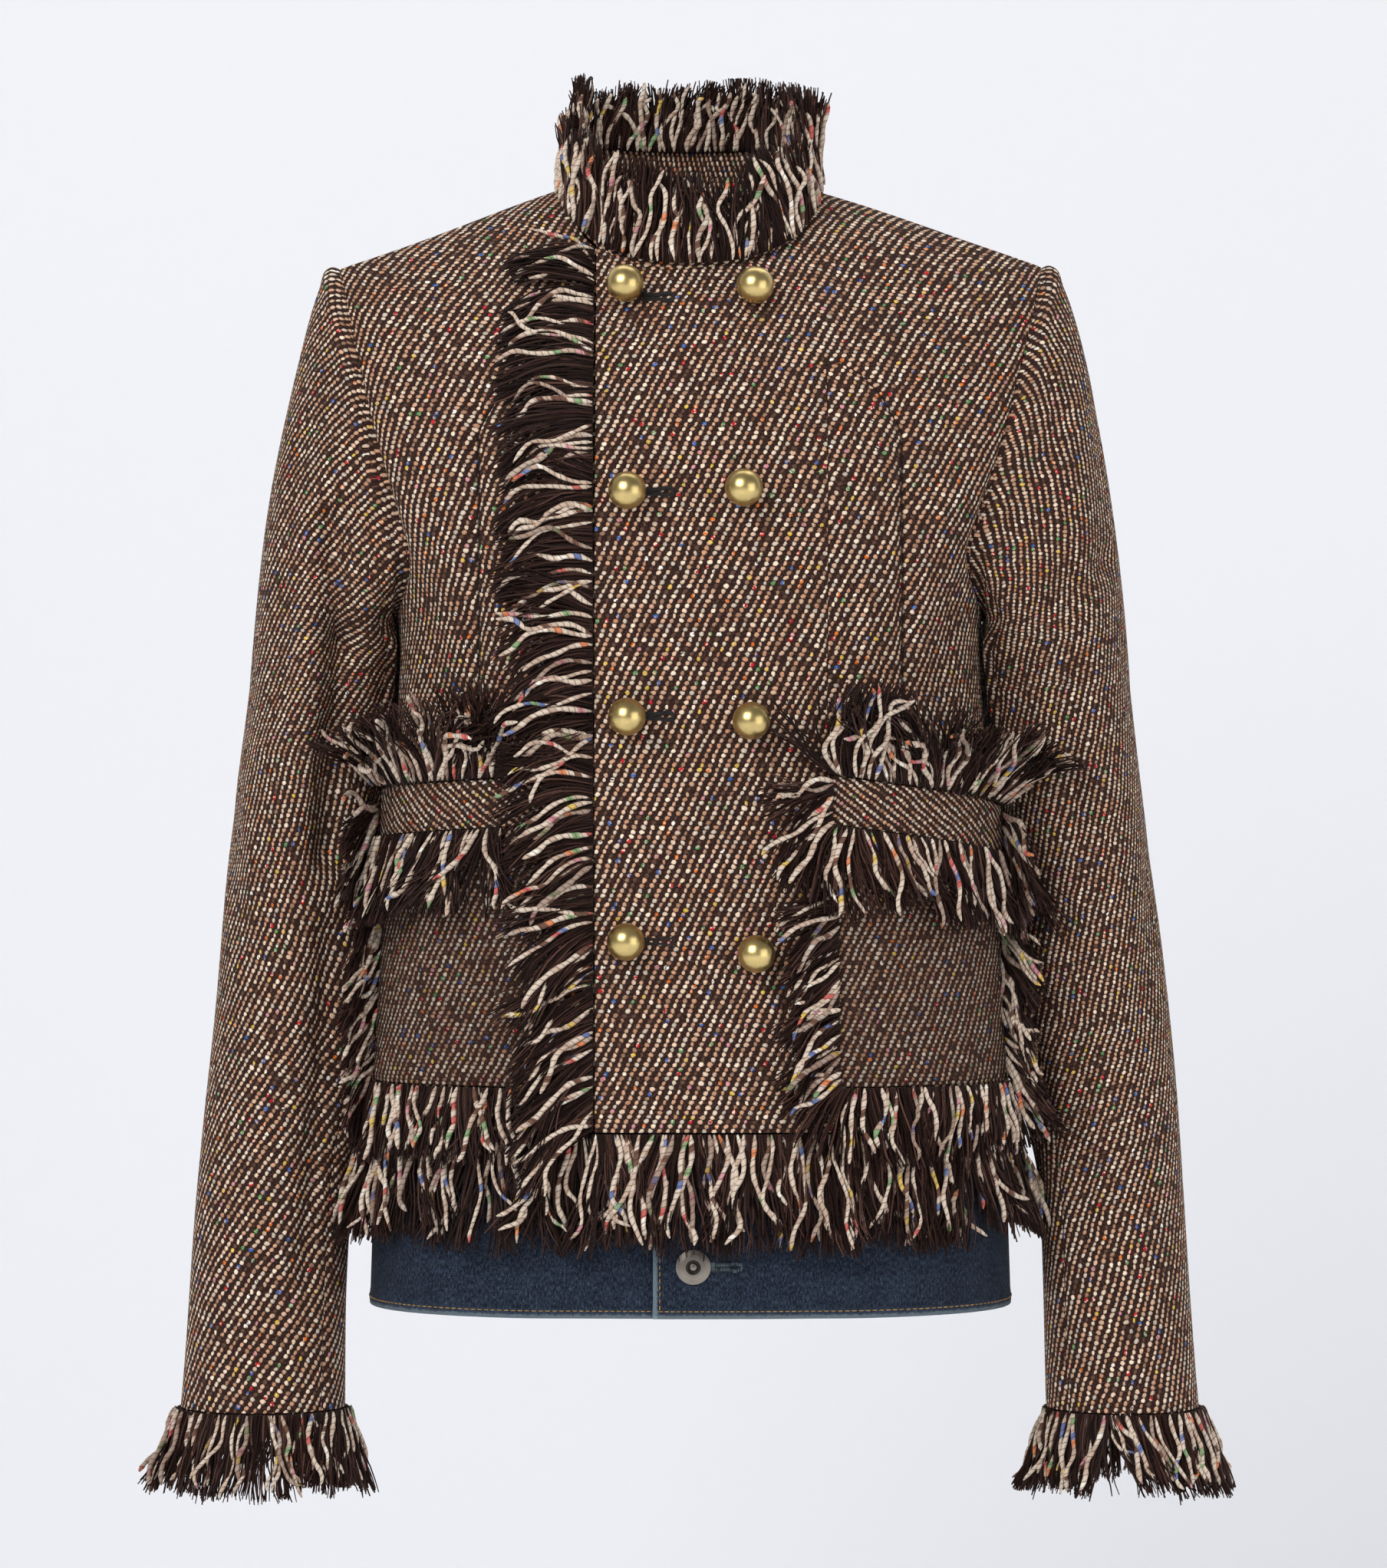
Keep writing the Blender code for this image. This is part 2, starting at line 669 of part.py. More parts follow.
def neck_point(turn):
    """Neckline point whose bearing from the neck's middle is turn."""
    low, high = 0.0, 1.0
    front = math.cos(turn) >= 0.0
    target = abs(math.sin(turn)) / max(abs(math.cos(turn)), 1e-6)
    for _ in range(30):
        share = 0.5 * (low + high)
        point = body_skin(*neckline(share, front))
        bearing = abs(point.x) / max(abs(point.y - RIDGE_Y), 1e-6)
        low, high = (share, high) if bearing < target else (low, share)
    point = body_skin(*neckline(0.5 * (low + high), front))
    point.x = math.copysign(point.x, math.sin(turn))
    return point


def collar(cols, rows):
    sheet("collar_stand", lambda u, v: collar_skin(u, STAND_HEIGHT * v),
          cols, rows, TWEED, tweed())


# ---- pockets and flaps ----
def on_front(side, turn_deg, z, lift):
    """Point over a front, which is pushed in near the lap on the wearer's right."""
    turn = math.radians(turn_deg)
    point = body_point(turn, z, lift)
    if side < 0:
        point = body_point(turn, z, lift - lap_drop(-point.x, z))
    return Vector((point.x * side, point.y, point.z))


def pocket(side):
    inner, outer = POCKET_TURN

    def place(u, v):
        z = POCKET_BOTTOM_Z + (POCKET_TOP_Z - POCKET_BOTTOM_Z) * v
        return on_front(side, inner + (outer - inner) * u, z, POCKET_LIFT)

    sheet("pocket_" + side_label(side), place, 12, 6, TWEED, tweed())


def flap_top(side, turn_deg):
    share = (turn_deg - FLAP_TURN[0]) / (FLAP_TURN[1] - FLAP_TURN[0])
    return FLAP_TOP_Z - FLAP_TILT[side] * share


def flap(side):
    inner, outer = FLAP_TURN

    def place(u, v):
        turn = inner + (outer - inner) * u
        z = flap_top(side, turn) - FLAP_HEIGHT * v
        return on_front(side, turn, z, FLAP_LIFT)

    sheet("flap_" + side_label(side), place, 12, 2, TWEED, tweed())


# ---- fringes ----
def fringe(name, edge, form, lean=None, rise=None):
    """Strip of cloth along an edge, with tapered locks from its outer side.

    edge(q, v, lift) is a point of the strip's outer face: q runs along it, v is 0
    on the cloth's side and 1 at the roots, lift is off the face. lean(q) is added
    to the locks' heading, rise(q) lifts them off what they lie on.
    """
    bm = bmesh.new()
    along_layer = bm.verts.layers.float.new("along")
    root_layer = bm.verts.layers.float.new("root")
    depth_layer = bm.verts.layers.float.new("depth")
    bmesh.ops.create_grid(bm, x_segments=form.locks, y_segments=1, size=0.5)
    for vert in bm.verts:
        vert[along_layer] = vert.co.x + 0.5
        vert[root_layer] = vert.co.y + 0.5
        vert.co = edge(vert[along_layer], vert[root_layer], 0.0)
    copied = bmesh.ops.extrude_face_region(bm, geom=bm.faces[:])["geom"]
    for item in copied:
        if isinstance(item, bmesh.types.BMVert):
            item[depth_layer] = 1.0
            item.co = edge(item[along_layer], item[root_layer], -STRIP_WALL)
    rim = [face for face in bm.faces if all(vert[root_layer] > 0.5 for vert in face.verts)]
    for ring, (share, wide, thick) in enumerate(LOCK_RINGS):
        rim = bmesh.ops.extrude_discrete_faces(bm, faces=rim)["faces"]
        for face in rim:
            q = sum(vert[along_layer] for vert in face.verts) / 4.0
            middle, along, facing = lock_section(edge, form, q, ring, share, lean, rise)
            width = form_width(edge, form, q)
            for vert in face.verts:
                a = 0.5 if vert[along_layer] > q else -0.5
                n = -0.5 if vert[depth_layer] > 0.5 else 0.5
                vert.co = (middle + along * a * width * wide
                           + facing * n * STRIP_WALL * thick)
    bmesh.ops.recalc_face_normals(bm, faces=bm.faces)
    add_object(name, bm, yarn())


def strip_frame(edge, q):
    """Directions at the strip's roots: along it, out of it, and off its face."""
    low, high = clamp(q - 0.002), clamp(q + 0.002)
    along = (edge(high, 1.0, 0.0) - edge(low, 1.0, 0.0)).normalized()
    normal = (edge(q, 1.0, 0.001) - edge(q, 1.0, 0.0)).normalized()
    out = (edge(q, 1.0, 0.0) - edge(q, 0.0, 0.0)).normalized()
    return Frame(along, out, normal)


def form_width(edge, form, q):
    """Width of one lock's root."""
    step = 0.5 / form.locks
    return (edge(q + step, 1.0, 0.0) - edge(q - step, 1.0, 0.0)).length


def lock_section(edge, form, q, ring, share, lean, rise):
    """Middle and two directions of a lock's section, share of the way to its tip."""
    frame = strip_frame(edge, q)
    index = math.floor(q * form.locks)
    length = form.length * (1.0 + 0.08 * noise(index, 1))
    heading = frame.out + frame.normal * form.flare
    heading += frame.along * LOCK_SWAY * noise(index, 2)
    if lean:
        heading += lean(q)
    heading.normalize()
    middle = edge(q, 1.0, -0.5 * STRIP_WALL) + heading * length * share
    middle += Vector((0.0, 0.0, -length * form.droop * share * share))
    middle += frame.along * LOCK_SHIFT * length * noise(index, 3 + ring)
    if rise:
        middle += frame.normal * rise(q) * (1.0 - (1.0 - share) ** 2)
    facing = frame.along.cross(heading).normalized()
    if frame.along.cross(frame.out).dot(frame.normal) < 0.0:
        facing.negate()
    return middle, frame.along, facing


def collar_fringe():
    def edge(q, v, lift):
        share = COLLAR_FRINGE_END * q
        turn = collar_turn(share)
        outward = Vector((math.sin(turn), -math.cos(turn), 0.0))
        return collar_skin(share, GAP + STRIP * v) + outward * (LAY + STRIP_WALL + lift)

    fringe("fringe_collar", edge, COLLAR_LOCKS)


def hem_fringe():
    start = turn_at_x(LAP_EDGE_X, HEM_Z)
    end = 2.0 * math.pi + turn_at_x(LAP_EDGE_X - 0.006, HEM_Z)

    def edge(q, v, lift):
        turn = start + (end - start) * q
        z = HEM_Z - GAP - STRIP * v
        under = q > 0.5 and math.cos(turn) > 0.0
        drop = lap_drop(body_skin(turn, z).x, z) if under else 0.0
        return body_point(turn, z, lift - drop)

    fringe("fringe_hem", edge, HEM_LOCKS)


def front_edge_fringe():
    top_z = neckline_signed(neck_share_at_x(LAP_EDGE_X))[1] - 0.001

    def edge(q, v, lift):
        z = top_z + (HEM_Z - top_z) * q
        return body_point(turn_at_x(LAP_EDGE_X - GAP - STRIP * v, z), z, lift)

    def lean(q):
        return Vector((0.0, 0.0, -0.45 * smoothstep((0.45, 0.9), q)))

    def rise(q):
        return 0.002 + 0.009 * smoothstep((0.35, 0.52), q)

    fringe("fringe_front_edge", edge, EDGE_LOCKS, lean, rise)


def cuff_fringe(side):
    def edge(q, v, lift):
        turn = 0.502 + 0.996 * q
        z = CUFF_Z - GAP - STRIP * v
        point = tube_point(side, turn, z)
        middle = 0.5 * (tube_point(side, 0.0, z) + tube_point(side, 0.5, z))
        point += (point - middle).normalized() * lift
        return Vector((point.x * side, point.y, point.z))

    fringe("fringe_cuff_" + side_label(side), edge, CUFF_LOCKS)


def round_three_sides(step, counts, heights, width):
    """Point and outward direction down one side, along the bottom, up the other.

    step counts locks from the start; both corners fall between two locks.
    """
    down, across, up = counts
    if step < down:
        point = (0.0, heights[0] * (1.0 - step / down))
    elif step <= down + across:
        point = (width * (step - down) / across, 0.0)
    else:
        point = (width, heights[1] * (step - down - across) / up)
    turned_by = clamp(step - down + 0.5) * (down > 0) + (down == 0)
    turned_by += clamp(step - down - across + 0.5)
    angle = math.pi + 0.5 * math.pi * turned_by
    corner = math.sqrt(2.0) if abs(turned_by % 1.0 - 0.5) < 0.01 else 1.0
    return point, (corner * math.cos(angle), corner * math.sin(angle))


def trim_three_sides(name, side, trim):
    """Fringe round a pocket's or flap's inner side, bottom and outer side.

    On the outer side, which faces the sleeve, the strip stands up off the body.
    """
    inner, outer = trim.turns
    width = (outer - inner) * PATCH_SCALE
    total = sum(trim.counts)
    last_corner = total - trim.counts[2]

    def edge(q, v, lift):
        step = clamp(q) * total
        point, out = round_three_sides(step, trim.counts, trim.heights, width)
        fold = 0.5 * math.pi * smoothstep((last_corner - 0.5, last_corner + 0.5), step)
        off_edge = GAP + STRIP * v * math.cos(fold) - lift * math.sin(fold)
        turn = inner + (point[0] + out[0] * off_edge) / PATCH_SCALE
        z = trim.z_low + point[1] + out[1] * off_edge
        z -= trim.tilt * (turn - trim.tilt_from) / (trim.turns[1] - trim.tilt_from)
        raised = STRIP * v * math.sin(fold) + lift * math.cos(fold)
        return on_front(side, turn, z, trim.lift + raised)

    def lean(q):
        step = q * total
        outer_side = smoothstep((last_corner - 0.5, last_corner + 0.5), step)
        inner_side = 1.0 - smoothstep((trim.counts[0] - 0.5, trim.counts[0] + 1.0), step)
        x, y, z = trim.outer_lean
        return (Vector((x * side, y, z)) * outer_side
                + Vector((0.0, 0.0, -0.45)) * inner_side)

    length = Fringe(total, trim.length, trim.flare, trim.droop)
    fringe(name, edge, length, lean)


def pocket_fringe(side):
    trim_three_sides("fringe_pocket_" + side_label(side), side, POCKET_TRIM[side])


def flap_fringe(side):
    trim_three_sides("fringe_flap_" + side_label(side), side, FLAP_TRIM[side])
    inner = FLAP_TURN[0] if side > 0 else FLAP_TURN[0] + LAP_HIDDEN_TURN

    def edge(q, v, lift):
        turn = inner + (FLAP_TURN[1] - inner) * q
        z = flap_top(side, turn) + GAP + STRIP * v
        return on_front(side, turn, z, FLAP_LIFT + lift)

    def lean(q):
        return Vector((side * (0.7 * q - 0.35), -0.3 * q, 0.0))

    fringe("fringe_flap_top_" + side_label(side), edge, FLAP_TOP_LOCKS[side], lean)


# ---- hardware ----
def turned(name, profile, steps, point, normal, look):
    """Turn (radius, height) points about the face direction at the point."""
    bm = bmesh.new()
    verts = [bm.verts.new((radius, 0.0, height)) for radius, height in profile]
    for first, second in zip(verts, verts[1:]):
        bm.edges.new((first, second))
    made = add_object(name, bm, look)
    screw = made.modifiers.new("turn", "SCREW")
    screw.steps = screw.render_steps = steps
    screw.use_merge_vertices = True
    screw.merge_threshold = 0.0001
    screw.use_normal_calculate = True
    made.location = point
    made.rotation_euler = normal.to_track_quat("Z", "Y").to_euler()
    made.data.shade_smooth()


def ball_button(name, x, z):
    """Ball on a short shank, on the upper front's face."""
    turn = turn_at_x(x, z)
    arc = math.pi - math.asin(SHANK_RADIUS / BALL_RADIUS)
    profile = [(BALL_RADIUS * math.sin(arc * i / BALL_ROWS),
                BALL_RADIUS * math.cos(arc * i / BALL_ROWS)) for i in range(BALL_ROWS + 1)]
    foot = -BALL_RADIUS - SHANK_LENGTH
    profile += [(SHANK_RADIUS, foot), (0.0, foot)]
    point = body_point(turn, z, GAP - foot)
    turned(name, profile, BALL_STEPS, point, body_normal(turn, z), brass())


def ball_buttons():
    for index, row in enumerate(BUTTON_ROWS, start=1):
        ball_button(f"button_hole_row_{index}", row.hole_x, row.z)
        ball_button(f"button_show_row_{index}", row.show_x, row.show_z)


# ---- denim band ----
def band_skin(share, z, lift=0.0):
    """Outer face of the band, from its lap edge (0) round to its under end (1)."""
    start = turn_at_x(BAND_LAP_X, z)
    end = 2.0 * math.pi + turn_at_x(BAND_UNDER_X, z)
    turn = start + (end - start) * share
    point = body_skin(turn, z)
    inside = TWEED + LAY + BAND_EASE
    inside += LAP_DROP * smoothstep(LAP_FADE, point.x) * (
        1.0 - smoothstep(BAND_FADE, point.x)) * (math.cos(turn) > 0.0)
    inside += (DENIM + LAY) * smoothstep(BAND_TUCK, share)
    return body_point(turn, z, lift - inside)


def denim_band():
    def place(u, v):
        return band_skin(u, BAND_TOP_Z + (BAND_BOTTOM_Z - BAND_TOP_Z) * v)

    sheet("denim_band", place, 44, 3, DENIM, denim())


def denim_button():
    start = turn_at_x(BAND_LAP_X, DENIM_BUTTON_Z)
    end = 2.0 * math.pi + turn_at_x(BAND_UNDER_X, DENIM_BUTTON_Z)
    share = (turn_at_x(DENIM_BUTTON_X, DENIM_BUTTON_Z) - start) / (end - start)
    point = band_skin(share, DENIM_BUTTON_Z, LAY)
    normal = body_normal(turn_at_x(DENIM_BUTTON_X, DENIM_BUTTON_Z), DENIM_BUTTON_Z)
    r = DENIM_BUTTON_RADIUS
    profile = ((0.0, 0.0016), (0.28 * r, 0.0016), (0.36 * r, 0.0030), (0.80 * r, 0.0030),
               (r, 0.0018), (r, 0.0004), (0.8 * r, 0.0), (0.0, 0.0))
    turned("denim_button", profile, 20, point, normal, pewter())


def main():
    for old in list(bpy.data.objects):
        bpy.data.objects.remove(old)
    home = bpy.data.collections.new(COLLECTION)
    bpy.context.scene.collection.children.link(home)
    front_panel("front_left", 1, LAP_EDGE_X, 6 / 15, 15, 16, 9, False)
    front_panel("front_right", -1, UNDER_EDGE_X, 6 / 15, 15, 16, 9, True)
    back_panel(22, 16, 9, 5)
    for side in (1, -1):
        sleeve(side, 16, 5, 17)
        pocket(side)
        flap(side)
        pocket_fringe(side)
        flap_fringe(side)
        cuff_fringe(side)
    collar(32, 2)
    collar_fringe()
    front_edge_fringe()
    hem_fringe()
    ball_buttons()
    denim_band()
    denim_button()


main()
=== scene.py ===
"""Looks of a cropped double-breasted tweed jacket, hollow as worn.

Metres, +Z up; the wearer faces -Y and the wearer's left is +X. The cloth repeats
the solids' own sizes at a finer pitch, with its weave, creases, seams and fringe.
"""

import math
from collections import namedtuple

import bmesh
import bpy
import numpy as np
from mathutils import Matrix, Vector


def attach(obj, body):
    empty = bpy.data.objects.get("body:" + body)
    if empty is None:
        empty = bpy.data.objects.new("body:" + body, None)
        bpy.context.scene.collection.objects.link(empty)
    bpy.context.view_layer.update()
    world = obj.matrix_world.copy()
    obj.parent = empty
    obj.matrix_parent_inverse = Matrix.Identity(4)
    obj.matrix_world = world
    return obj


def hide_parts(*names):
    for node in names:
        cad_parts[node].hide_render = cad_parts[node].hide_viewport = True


bl_info = {
    "name": "Cropped Tweed Jacket",
    "version": (1, 0, 0),
    "blender": (4, 5, 0),
    "location": "View3D > Sidebar > Jacket",
    "description": "Dresses a cropped jacket in tweed, fringe, buttons and a denim hem band",
    "category": "Object",
}

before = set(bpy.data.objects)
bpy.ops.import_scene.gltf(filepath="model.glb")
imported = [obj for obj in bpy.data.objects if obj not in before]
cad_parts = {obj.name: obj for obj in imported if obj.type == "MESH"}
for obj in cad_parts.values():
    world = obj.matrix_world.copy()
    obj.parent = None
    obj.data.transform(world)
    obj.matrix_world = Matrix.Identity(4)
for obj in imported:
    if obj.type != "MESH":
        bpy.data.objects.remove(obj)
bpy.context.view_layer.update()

# ---- cloth ----
TWEED = 0.0025
DENIM = 0.0016
GAP = 0.0003
LAY = 0.0006  # clearance of a piece that lies on a curved panel
TINY = 0.0005
SEAM_TUCK = 0.0011  # how far a seam's edges turn in
SEAM_WIDTH = 0.0028  # how wide that turning is
FOLD_ANGLE = 50.0  # edges of cloth sharper than this show as edges, in degrees
UV = "cloth"

# ---- body ----
ROUNDNESS = 2.5
SHOULDER_SLOPE = 0.3665
SHOULDER_SOFTEN = 0.04
NECK_HALF = 0.064
SHOULDER_HALF = 0.183
RIDGE_Y = 0.004  # the shoulder seams lie in this plane
FRONT_FALL = 0.160  # height over which the front falls off the shoulder seam
BACK_FALL = 0.140
FRONT_FALL_POWER = 1.55
BACK_FALL_POWER = 1.80
NECK_SQUARE = 0.87  # power that squares the neckline off
NECK_FRONT_Z = -0.048
NECK_BACK_Z = 0.0
UNDERARM_Z = -0.226
NOTCH_Z = -0.185  # below it the armhole turns in to the underarm
ARMHOLE_SPACING = 1.1
HEM_Z = -0.486
CHEST_Z = -0.25  # where the cloth's width is measured
ARM_SHARE = 9.0 / 16.0  # share of a panel's rows that lie above the underarm
FRONT_NECK_SHARE = 6.0 / 15.0  # share of a front's top that is neckline
BACK_NECK_SHARE = 12.0 / 22.0
PANEL_ROWS = 184  # cells down a panel; one cell is about 2.7 mm
LEFT_COLS, RIGHT_COLS, BACK_COLS = 105, 75, 82

Ring = namedtuple("Ring", "z half_width front_depth back_depth")
BODY_RINGS = (
    Ring(0.020, 0.204, 0.112, 0.104),
    Ring(-0.041, 0.200, 0.118, 0.108),
    Ring(-0.100, 0.188, 0.124, 0.112),
    Ring(-0.160, 0.170, 0.128, 0.113),
    Ring(-0.185, 0.1626, 0.128, 0.113),
    Ring(-0.226, 0.1525, 0.127, 0.112),
    Ring(-0.270, 0.1530, 0.125, 0.110),
    Ring(-0.320, 0.1575, 0.124, 0.108),
    Ring(-0.430, 0.1630, 0.124, 0.108),
    Ring(-0.490, 0.1670, 0.126, 0.111),
    Ring(-0.600, 0.1710, 0.127, 0.114),
)
Armhole = namedtuple("Armhole", "z front_x back_x")
ARMHOLE = (
    Armhole(-0.041, 0.1830, 0.1830),
    Armhole(-0.070, 0.1765, 0.1785),
    Armhole(-0.100, 0.1690, 0.1725),
    Armhole(-0.132, 0.1610, 0.1650),
    Armhole(-0.160, 0.1535, 0.1575),
    Armhole(-0.185, 0.1480, 0.1515),
)

# ---- double-breasted lap ----
LAP_EDGE_X = -0.048
UNDER_EDGE_X = 0.050
LAP_DROP = TWEED + 0.0015  # how far the under front lies beneath the upper one
LAP_FADE = (-0.092, -0.056)  # between these x, and these z, it sinks to that
LAP_FADE_Z = (-0.012, -0.034)
SEAM_PANEL = (0.0692, 0.1085, -0.0965)  # sewn panel on a front: inner x, outer x, top z
SEAM_PANEL_BEND = 0.9  # how much its top edge falls off towards the outer seam
DART_WIDTH = 0.0024  # width of the groove along its seams

# ---- sleeves ----
Tube = namedtuple("Tube", "z outer inner middle_y half_depth")
SLEEVE_TUBE = (
    Tube(-0.262, 0.2300, 0.1580, 0.006, 0.060),
    Tube(-0.300, 0.2345, 0.1640, 0.006, 0.056),
    Tube(-0.345, 0.2400, 0.1695, 0.007, 0.052),
    Tube(-0.400, 0.2465, 0.1715, 0.006, 0.049),
    Tube(-0.460, 0.2520, 0.1735, 0.002, 0.046),
    Tube(-0.520, 0.2560, 0.1755, -0.003, 0.044),
    Tube(-0.580, 0.2605, 0.1780, -0.007, 0.043),
    Tube(-0.660, 0.2670, 0.1805, -0.010, 0.0425),
)
BICEP_Z = SLEEVE_TUBE[0].z
CUFF_Z = -0.634
SLEEVE_SWING = {1: 0.006, -1: 0.0}  # how far each sleeve's inner side swings off the body
SLEEVE_SWING_Z = (-0.30, -0.50)
CAP_SHARE = 0.40  # share of a sleeve's rows that are its head
CAP_SPACING = 1.15
CAP_BULGE = (0.38, 0.11)
CAP_ARRIVE = np.array((0.06, 0.0, -1.0))
UNDER_SLEEVE = (0.39, 0.61)  # turns between which the under sleeve lies
SLEEVE_SEAM = 0.0006
SEAM_TURN = 0.0004
SLEEVE_GIRTH = 0.345  # round a sleeve's middle
SLEEVE_ROWS, UPPER_COLS, UNDER_COLS = 236, 104, 30
FOLD_GIRTH = 0.30  # girth that the folds' widths are measured on
HEAD_ROLL = 0.0016  # how far the sleeve's head swells next to its seam
REST_Z = ((-0.2235, -0.246), (-0.53, -0.42))  # where a sleeve rests: from, and fading off to
REST_PUSH = 0.018  # how far its inner side can be pushed in towards the body
REST_CLEAR = (0.0022, 0.0085)  # gap it keeps there, and what is added at the front
ARMHOLE_FOLD = {1: 0.0036, -1: 0.0024}  # how deep the armhole's lower front is folded in
ARMHOLE_FOLD_RISE = 0.030  # how far up and down the front's edge that fold reaches
ARMHOLE_FOLD_TURN = (0.385, 0.075)  # middle and width of it on the sleeve
ALLOWANCE = ((0.0056, 0.0040), (0.0034, 0.0038), (0.0012, 0.0022))  # across, below a seam

# up a sleeve from its cuff: how far its weave leans, and how much finer it is than the body's
Grain = namedtuple("Grain", "height degrees fineness")
SLEEVE_GRAIN = {
    1: (Grain(0.00, 7.0, 0.96), Grain(0.10, 7.0, 1.00), Grain(0.20, 10.0, 1.19),
        Grain(0.40, 8.0, 1.20), Grain(0.50, 16.0, 1.02), Grain(0.57, 34.0, 1.00),
        Grain(0.75, 38.0, 1.00)),
    -1: (Grain(0.00, -11.0, 0.95), Grain(0.10, -10.0, 0.98), Grain(0.20, -9.0, 1.06),
         Grain(0.34, 10.0, 1.22), Grain(0.44, 1.0, 1.04), Grain(0.75, -9.0, 0.96)),
}

# ---- collar, pockets and flaps ----
STAND_HEIGHT = 0.024
STAND_LEAN = 0.0025
STAND_SEAT = 0.0013  # clearance of the stand over the neckline
STAND_UNDERLAP = 0.05  # turn by which the stand passes under itself
STAND_TUCK = (0.86, 0.95)
STAND_LENGTH = 0.41
STAND_ALLOWANCE = 0.0028  # how far the stand is sewn below the neck's edge
STAND_CELLS = (200, 10)
INNER_SPREAD = 3.7  # turn of the neck whose inside shows the collar's fringe
POCKET_TURN = (32.6, 75.0)  # degrees round the body
POCKET_BOTTOM_Z = -0.4634
POCKET_TOP_Z = -0.327
FLAP_TURN = (31.0, 76.5)
FLAP_TOP_Z = -0.307
FLAP_HEIGHT = 0.024
FLAP_TILT = {1: 0.016, -1: 0.007}
POCKET_LIFT = LAY + TWEED
FLAP_LIFT = 2.0 * (LAY + TWEED)
PATCH_SCALE = 0.113 / 42.4  # metres of cloth for one degree round the front
LAP_HIDDEN_TURN = 9.0  # part of the wearer's right flap that the lap hides, in degrees
POCKET_GRAIN = 1.14  # how much finer the pockets' cloth is than the body's
FLAP_FINENESS = 1.22  # the same of the flaps, whose cloth is cut the other way up
FLAP_GRAIN = -25.0  # how far their weave leans, in degrees
PATCH_TUCK = 0.0007  # how far the edges of a pocket or flap turn in
PATCH_TUCK_WIDTH = 0.0016
POCKET_CELLS, FLAP_CELLS = (46, 52), (50, 10)

# ---- fringes ----
Form = namedtuple("Form", "length flare droop wild")
STRIP = 0.004
STRIP_WALL = 0.0020
COLLAR_FRINGE_RUN = 0.985  # share of the stand that shows its fringe
BUNCH = 0.0080  # width of one bunch of fringe
BUNCH_GATHER = 0.45  # how far a bunch's yarns close up at their ends
LENGTH_LIMITS = (0.55, 1.14)
# loose: how far a yarn strays from its bunch; kink, beats: size and count of its waves
Kind = namedtuple("Kind", "suffix steps sides scatter margin lifts length loose kink beats widths")
STRAND = Kind("_wool", 8, 3, (0.0, 1.0), 0.003, (-0.0008, 0.0022), 1.0, 0.45, 0.20, 1.3,
              (0.8, 1.25))
YARN = Kind("_twist", 17, 6, (-0.6, 1.6), 0.004, (0.0006, 0.0040), 0.96, 0.85, 0.58, 1.2,
            (0.75, 1.2))
# round a pocket or flap: heights of its two sides, and their shares of the strip with the foot's
Trim = namedtuple("Trim", "turns z_low heights counts outer_lean lift tilt tilt_from")
POCKET_TRIM = {
    side: Trim(POCKET_TURN, POCKET_BOTTOM_Z, (0.098, 0.104), (inner, 8, 8), (0.3, -0.9, -2.0),
               POCKET_LIFT, 0.0, POCKET_TURN[0])
    for side, inner in ((1, 7), (-1, 0))}
FLAP_TRIM = {
    side: Trim((FLAP_TURN[0] + hidden, FLAP_TURN[1]), FLAP_TOP_Z - FLAP_HEIGHT, (0.022, 0.022),
               counts, (0.1, -1.6, -1.7), FLAP_LIFT, FLAP_TILT[side], FLAP_TURN[0])
    for side, hidden, counts in ((1, 0.0, (2, 8, 2)), (-1, LAP_HIDDEN_TURN, (0, 7, 2)))}

# ---- buttons and the denim band ----
BALL_RADIUS = 0.0095
SHANK_RADIUS = 0.0028
SHANK_LENGTH = 0.0018
Row = namedtuple("Row", "z hole_x show_x show_z")
BUTTON_ROWS = (
    Row(-0.0640, -0.0315, 0.0312, -0.0650),
    Row(-0.1645, -0.0308, 0.0262, -0.1632),
    Row(-0.2770, -0.0308, 0.0297, -0.2790),
    Row(-0.3900, -0.0315, 0.0322, -0.3960),
)
HOLE_END_X = -0.0100  # outer end of the buttonholes
BAND_TOP_Z = -0.468
BAND_BOTTOM_Z = -0.580
BAND_LAP_X = -0.019
BAND_UNDER_X = 0.006
BAND_EASE = 0.0004  # further gap between the band and the tweed
BAND_FADE = (0.056, 0.092)
BAND_TUCK = (0.90, 0.95)
BAND_LENGTH = 0.93
BAND_CELLS = (320, 40)
ROPE_DEPTH = 0.00045  # rope of the hem: its depth, its pitch, and its height up the band
ROPE_PITCH = 0.0115
ROPE_Z = 0.0035
STITCH_PITCH = 0.0034  # topstitching: pitch, and share of it that one stitch covers
STITCH_REACH = 0.72
THREAD = 0.00062  # thickness of sewing thread
LOW_ROW = 0.0038  # topstitching's height over the band's lower edge
LAP_ROW = 0.0042  # its place beside the lap edge, as a share of the band
STITCHED_SHARE = 0.966  # share of the band that the lower row runs along
DENIM_BUTTON_X = 0.0015
DENIM_BUTTON_Z = -0.5538
DENIM_BUTTON_RADIUS = 0.0088
ButtonRing = namedtuple("ButtonRing", "width rise")
BUTTON_RINGS = (ButtonRing(0.0011, 0.0011), ButtonRing(0.0009, 0.0003), ButtonRing(0.0030, 0.0),
                ButtonRing(0.0007, -0.0024), ButtonRing(0.0014, 0.0011))
DARK_RING = (0.0011, 0.0038)  # radii between which the jeans button is darkened

# ---- stage ----
FLOOR_Z = -0.95
BACKDROP_Y = 1.5
CAMERA_PLACE = (0.0016, -3.2, -0.311)
FRAME_HEIGHT = 0.8176  # what the camera's long side takes in at the origin
STAGE_SIZE = 24.0
LIGHT_AIM = (0.0, 0.0, -0.32)
WORLD_STRENGTH = 0.66
GLOSSY_WORLD = -0.42  # added to it for glossy rays, so that metal shows the lights


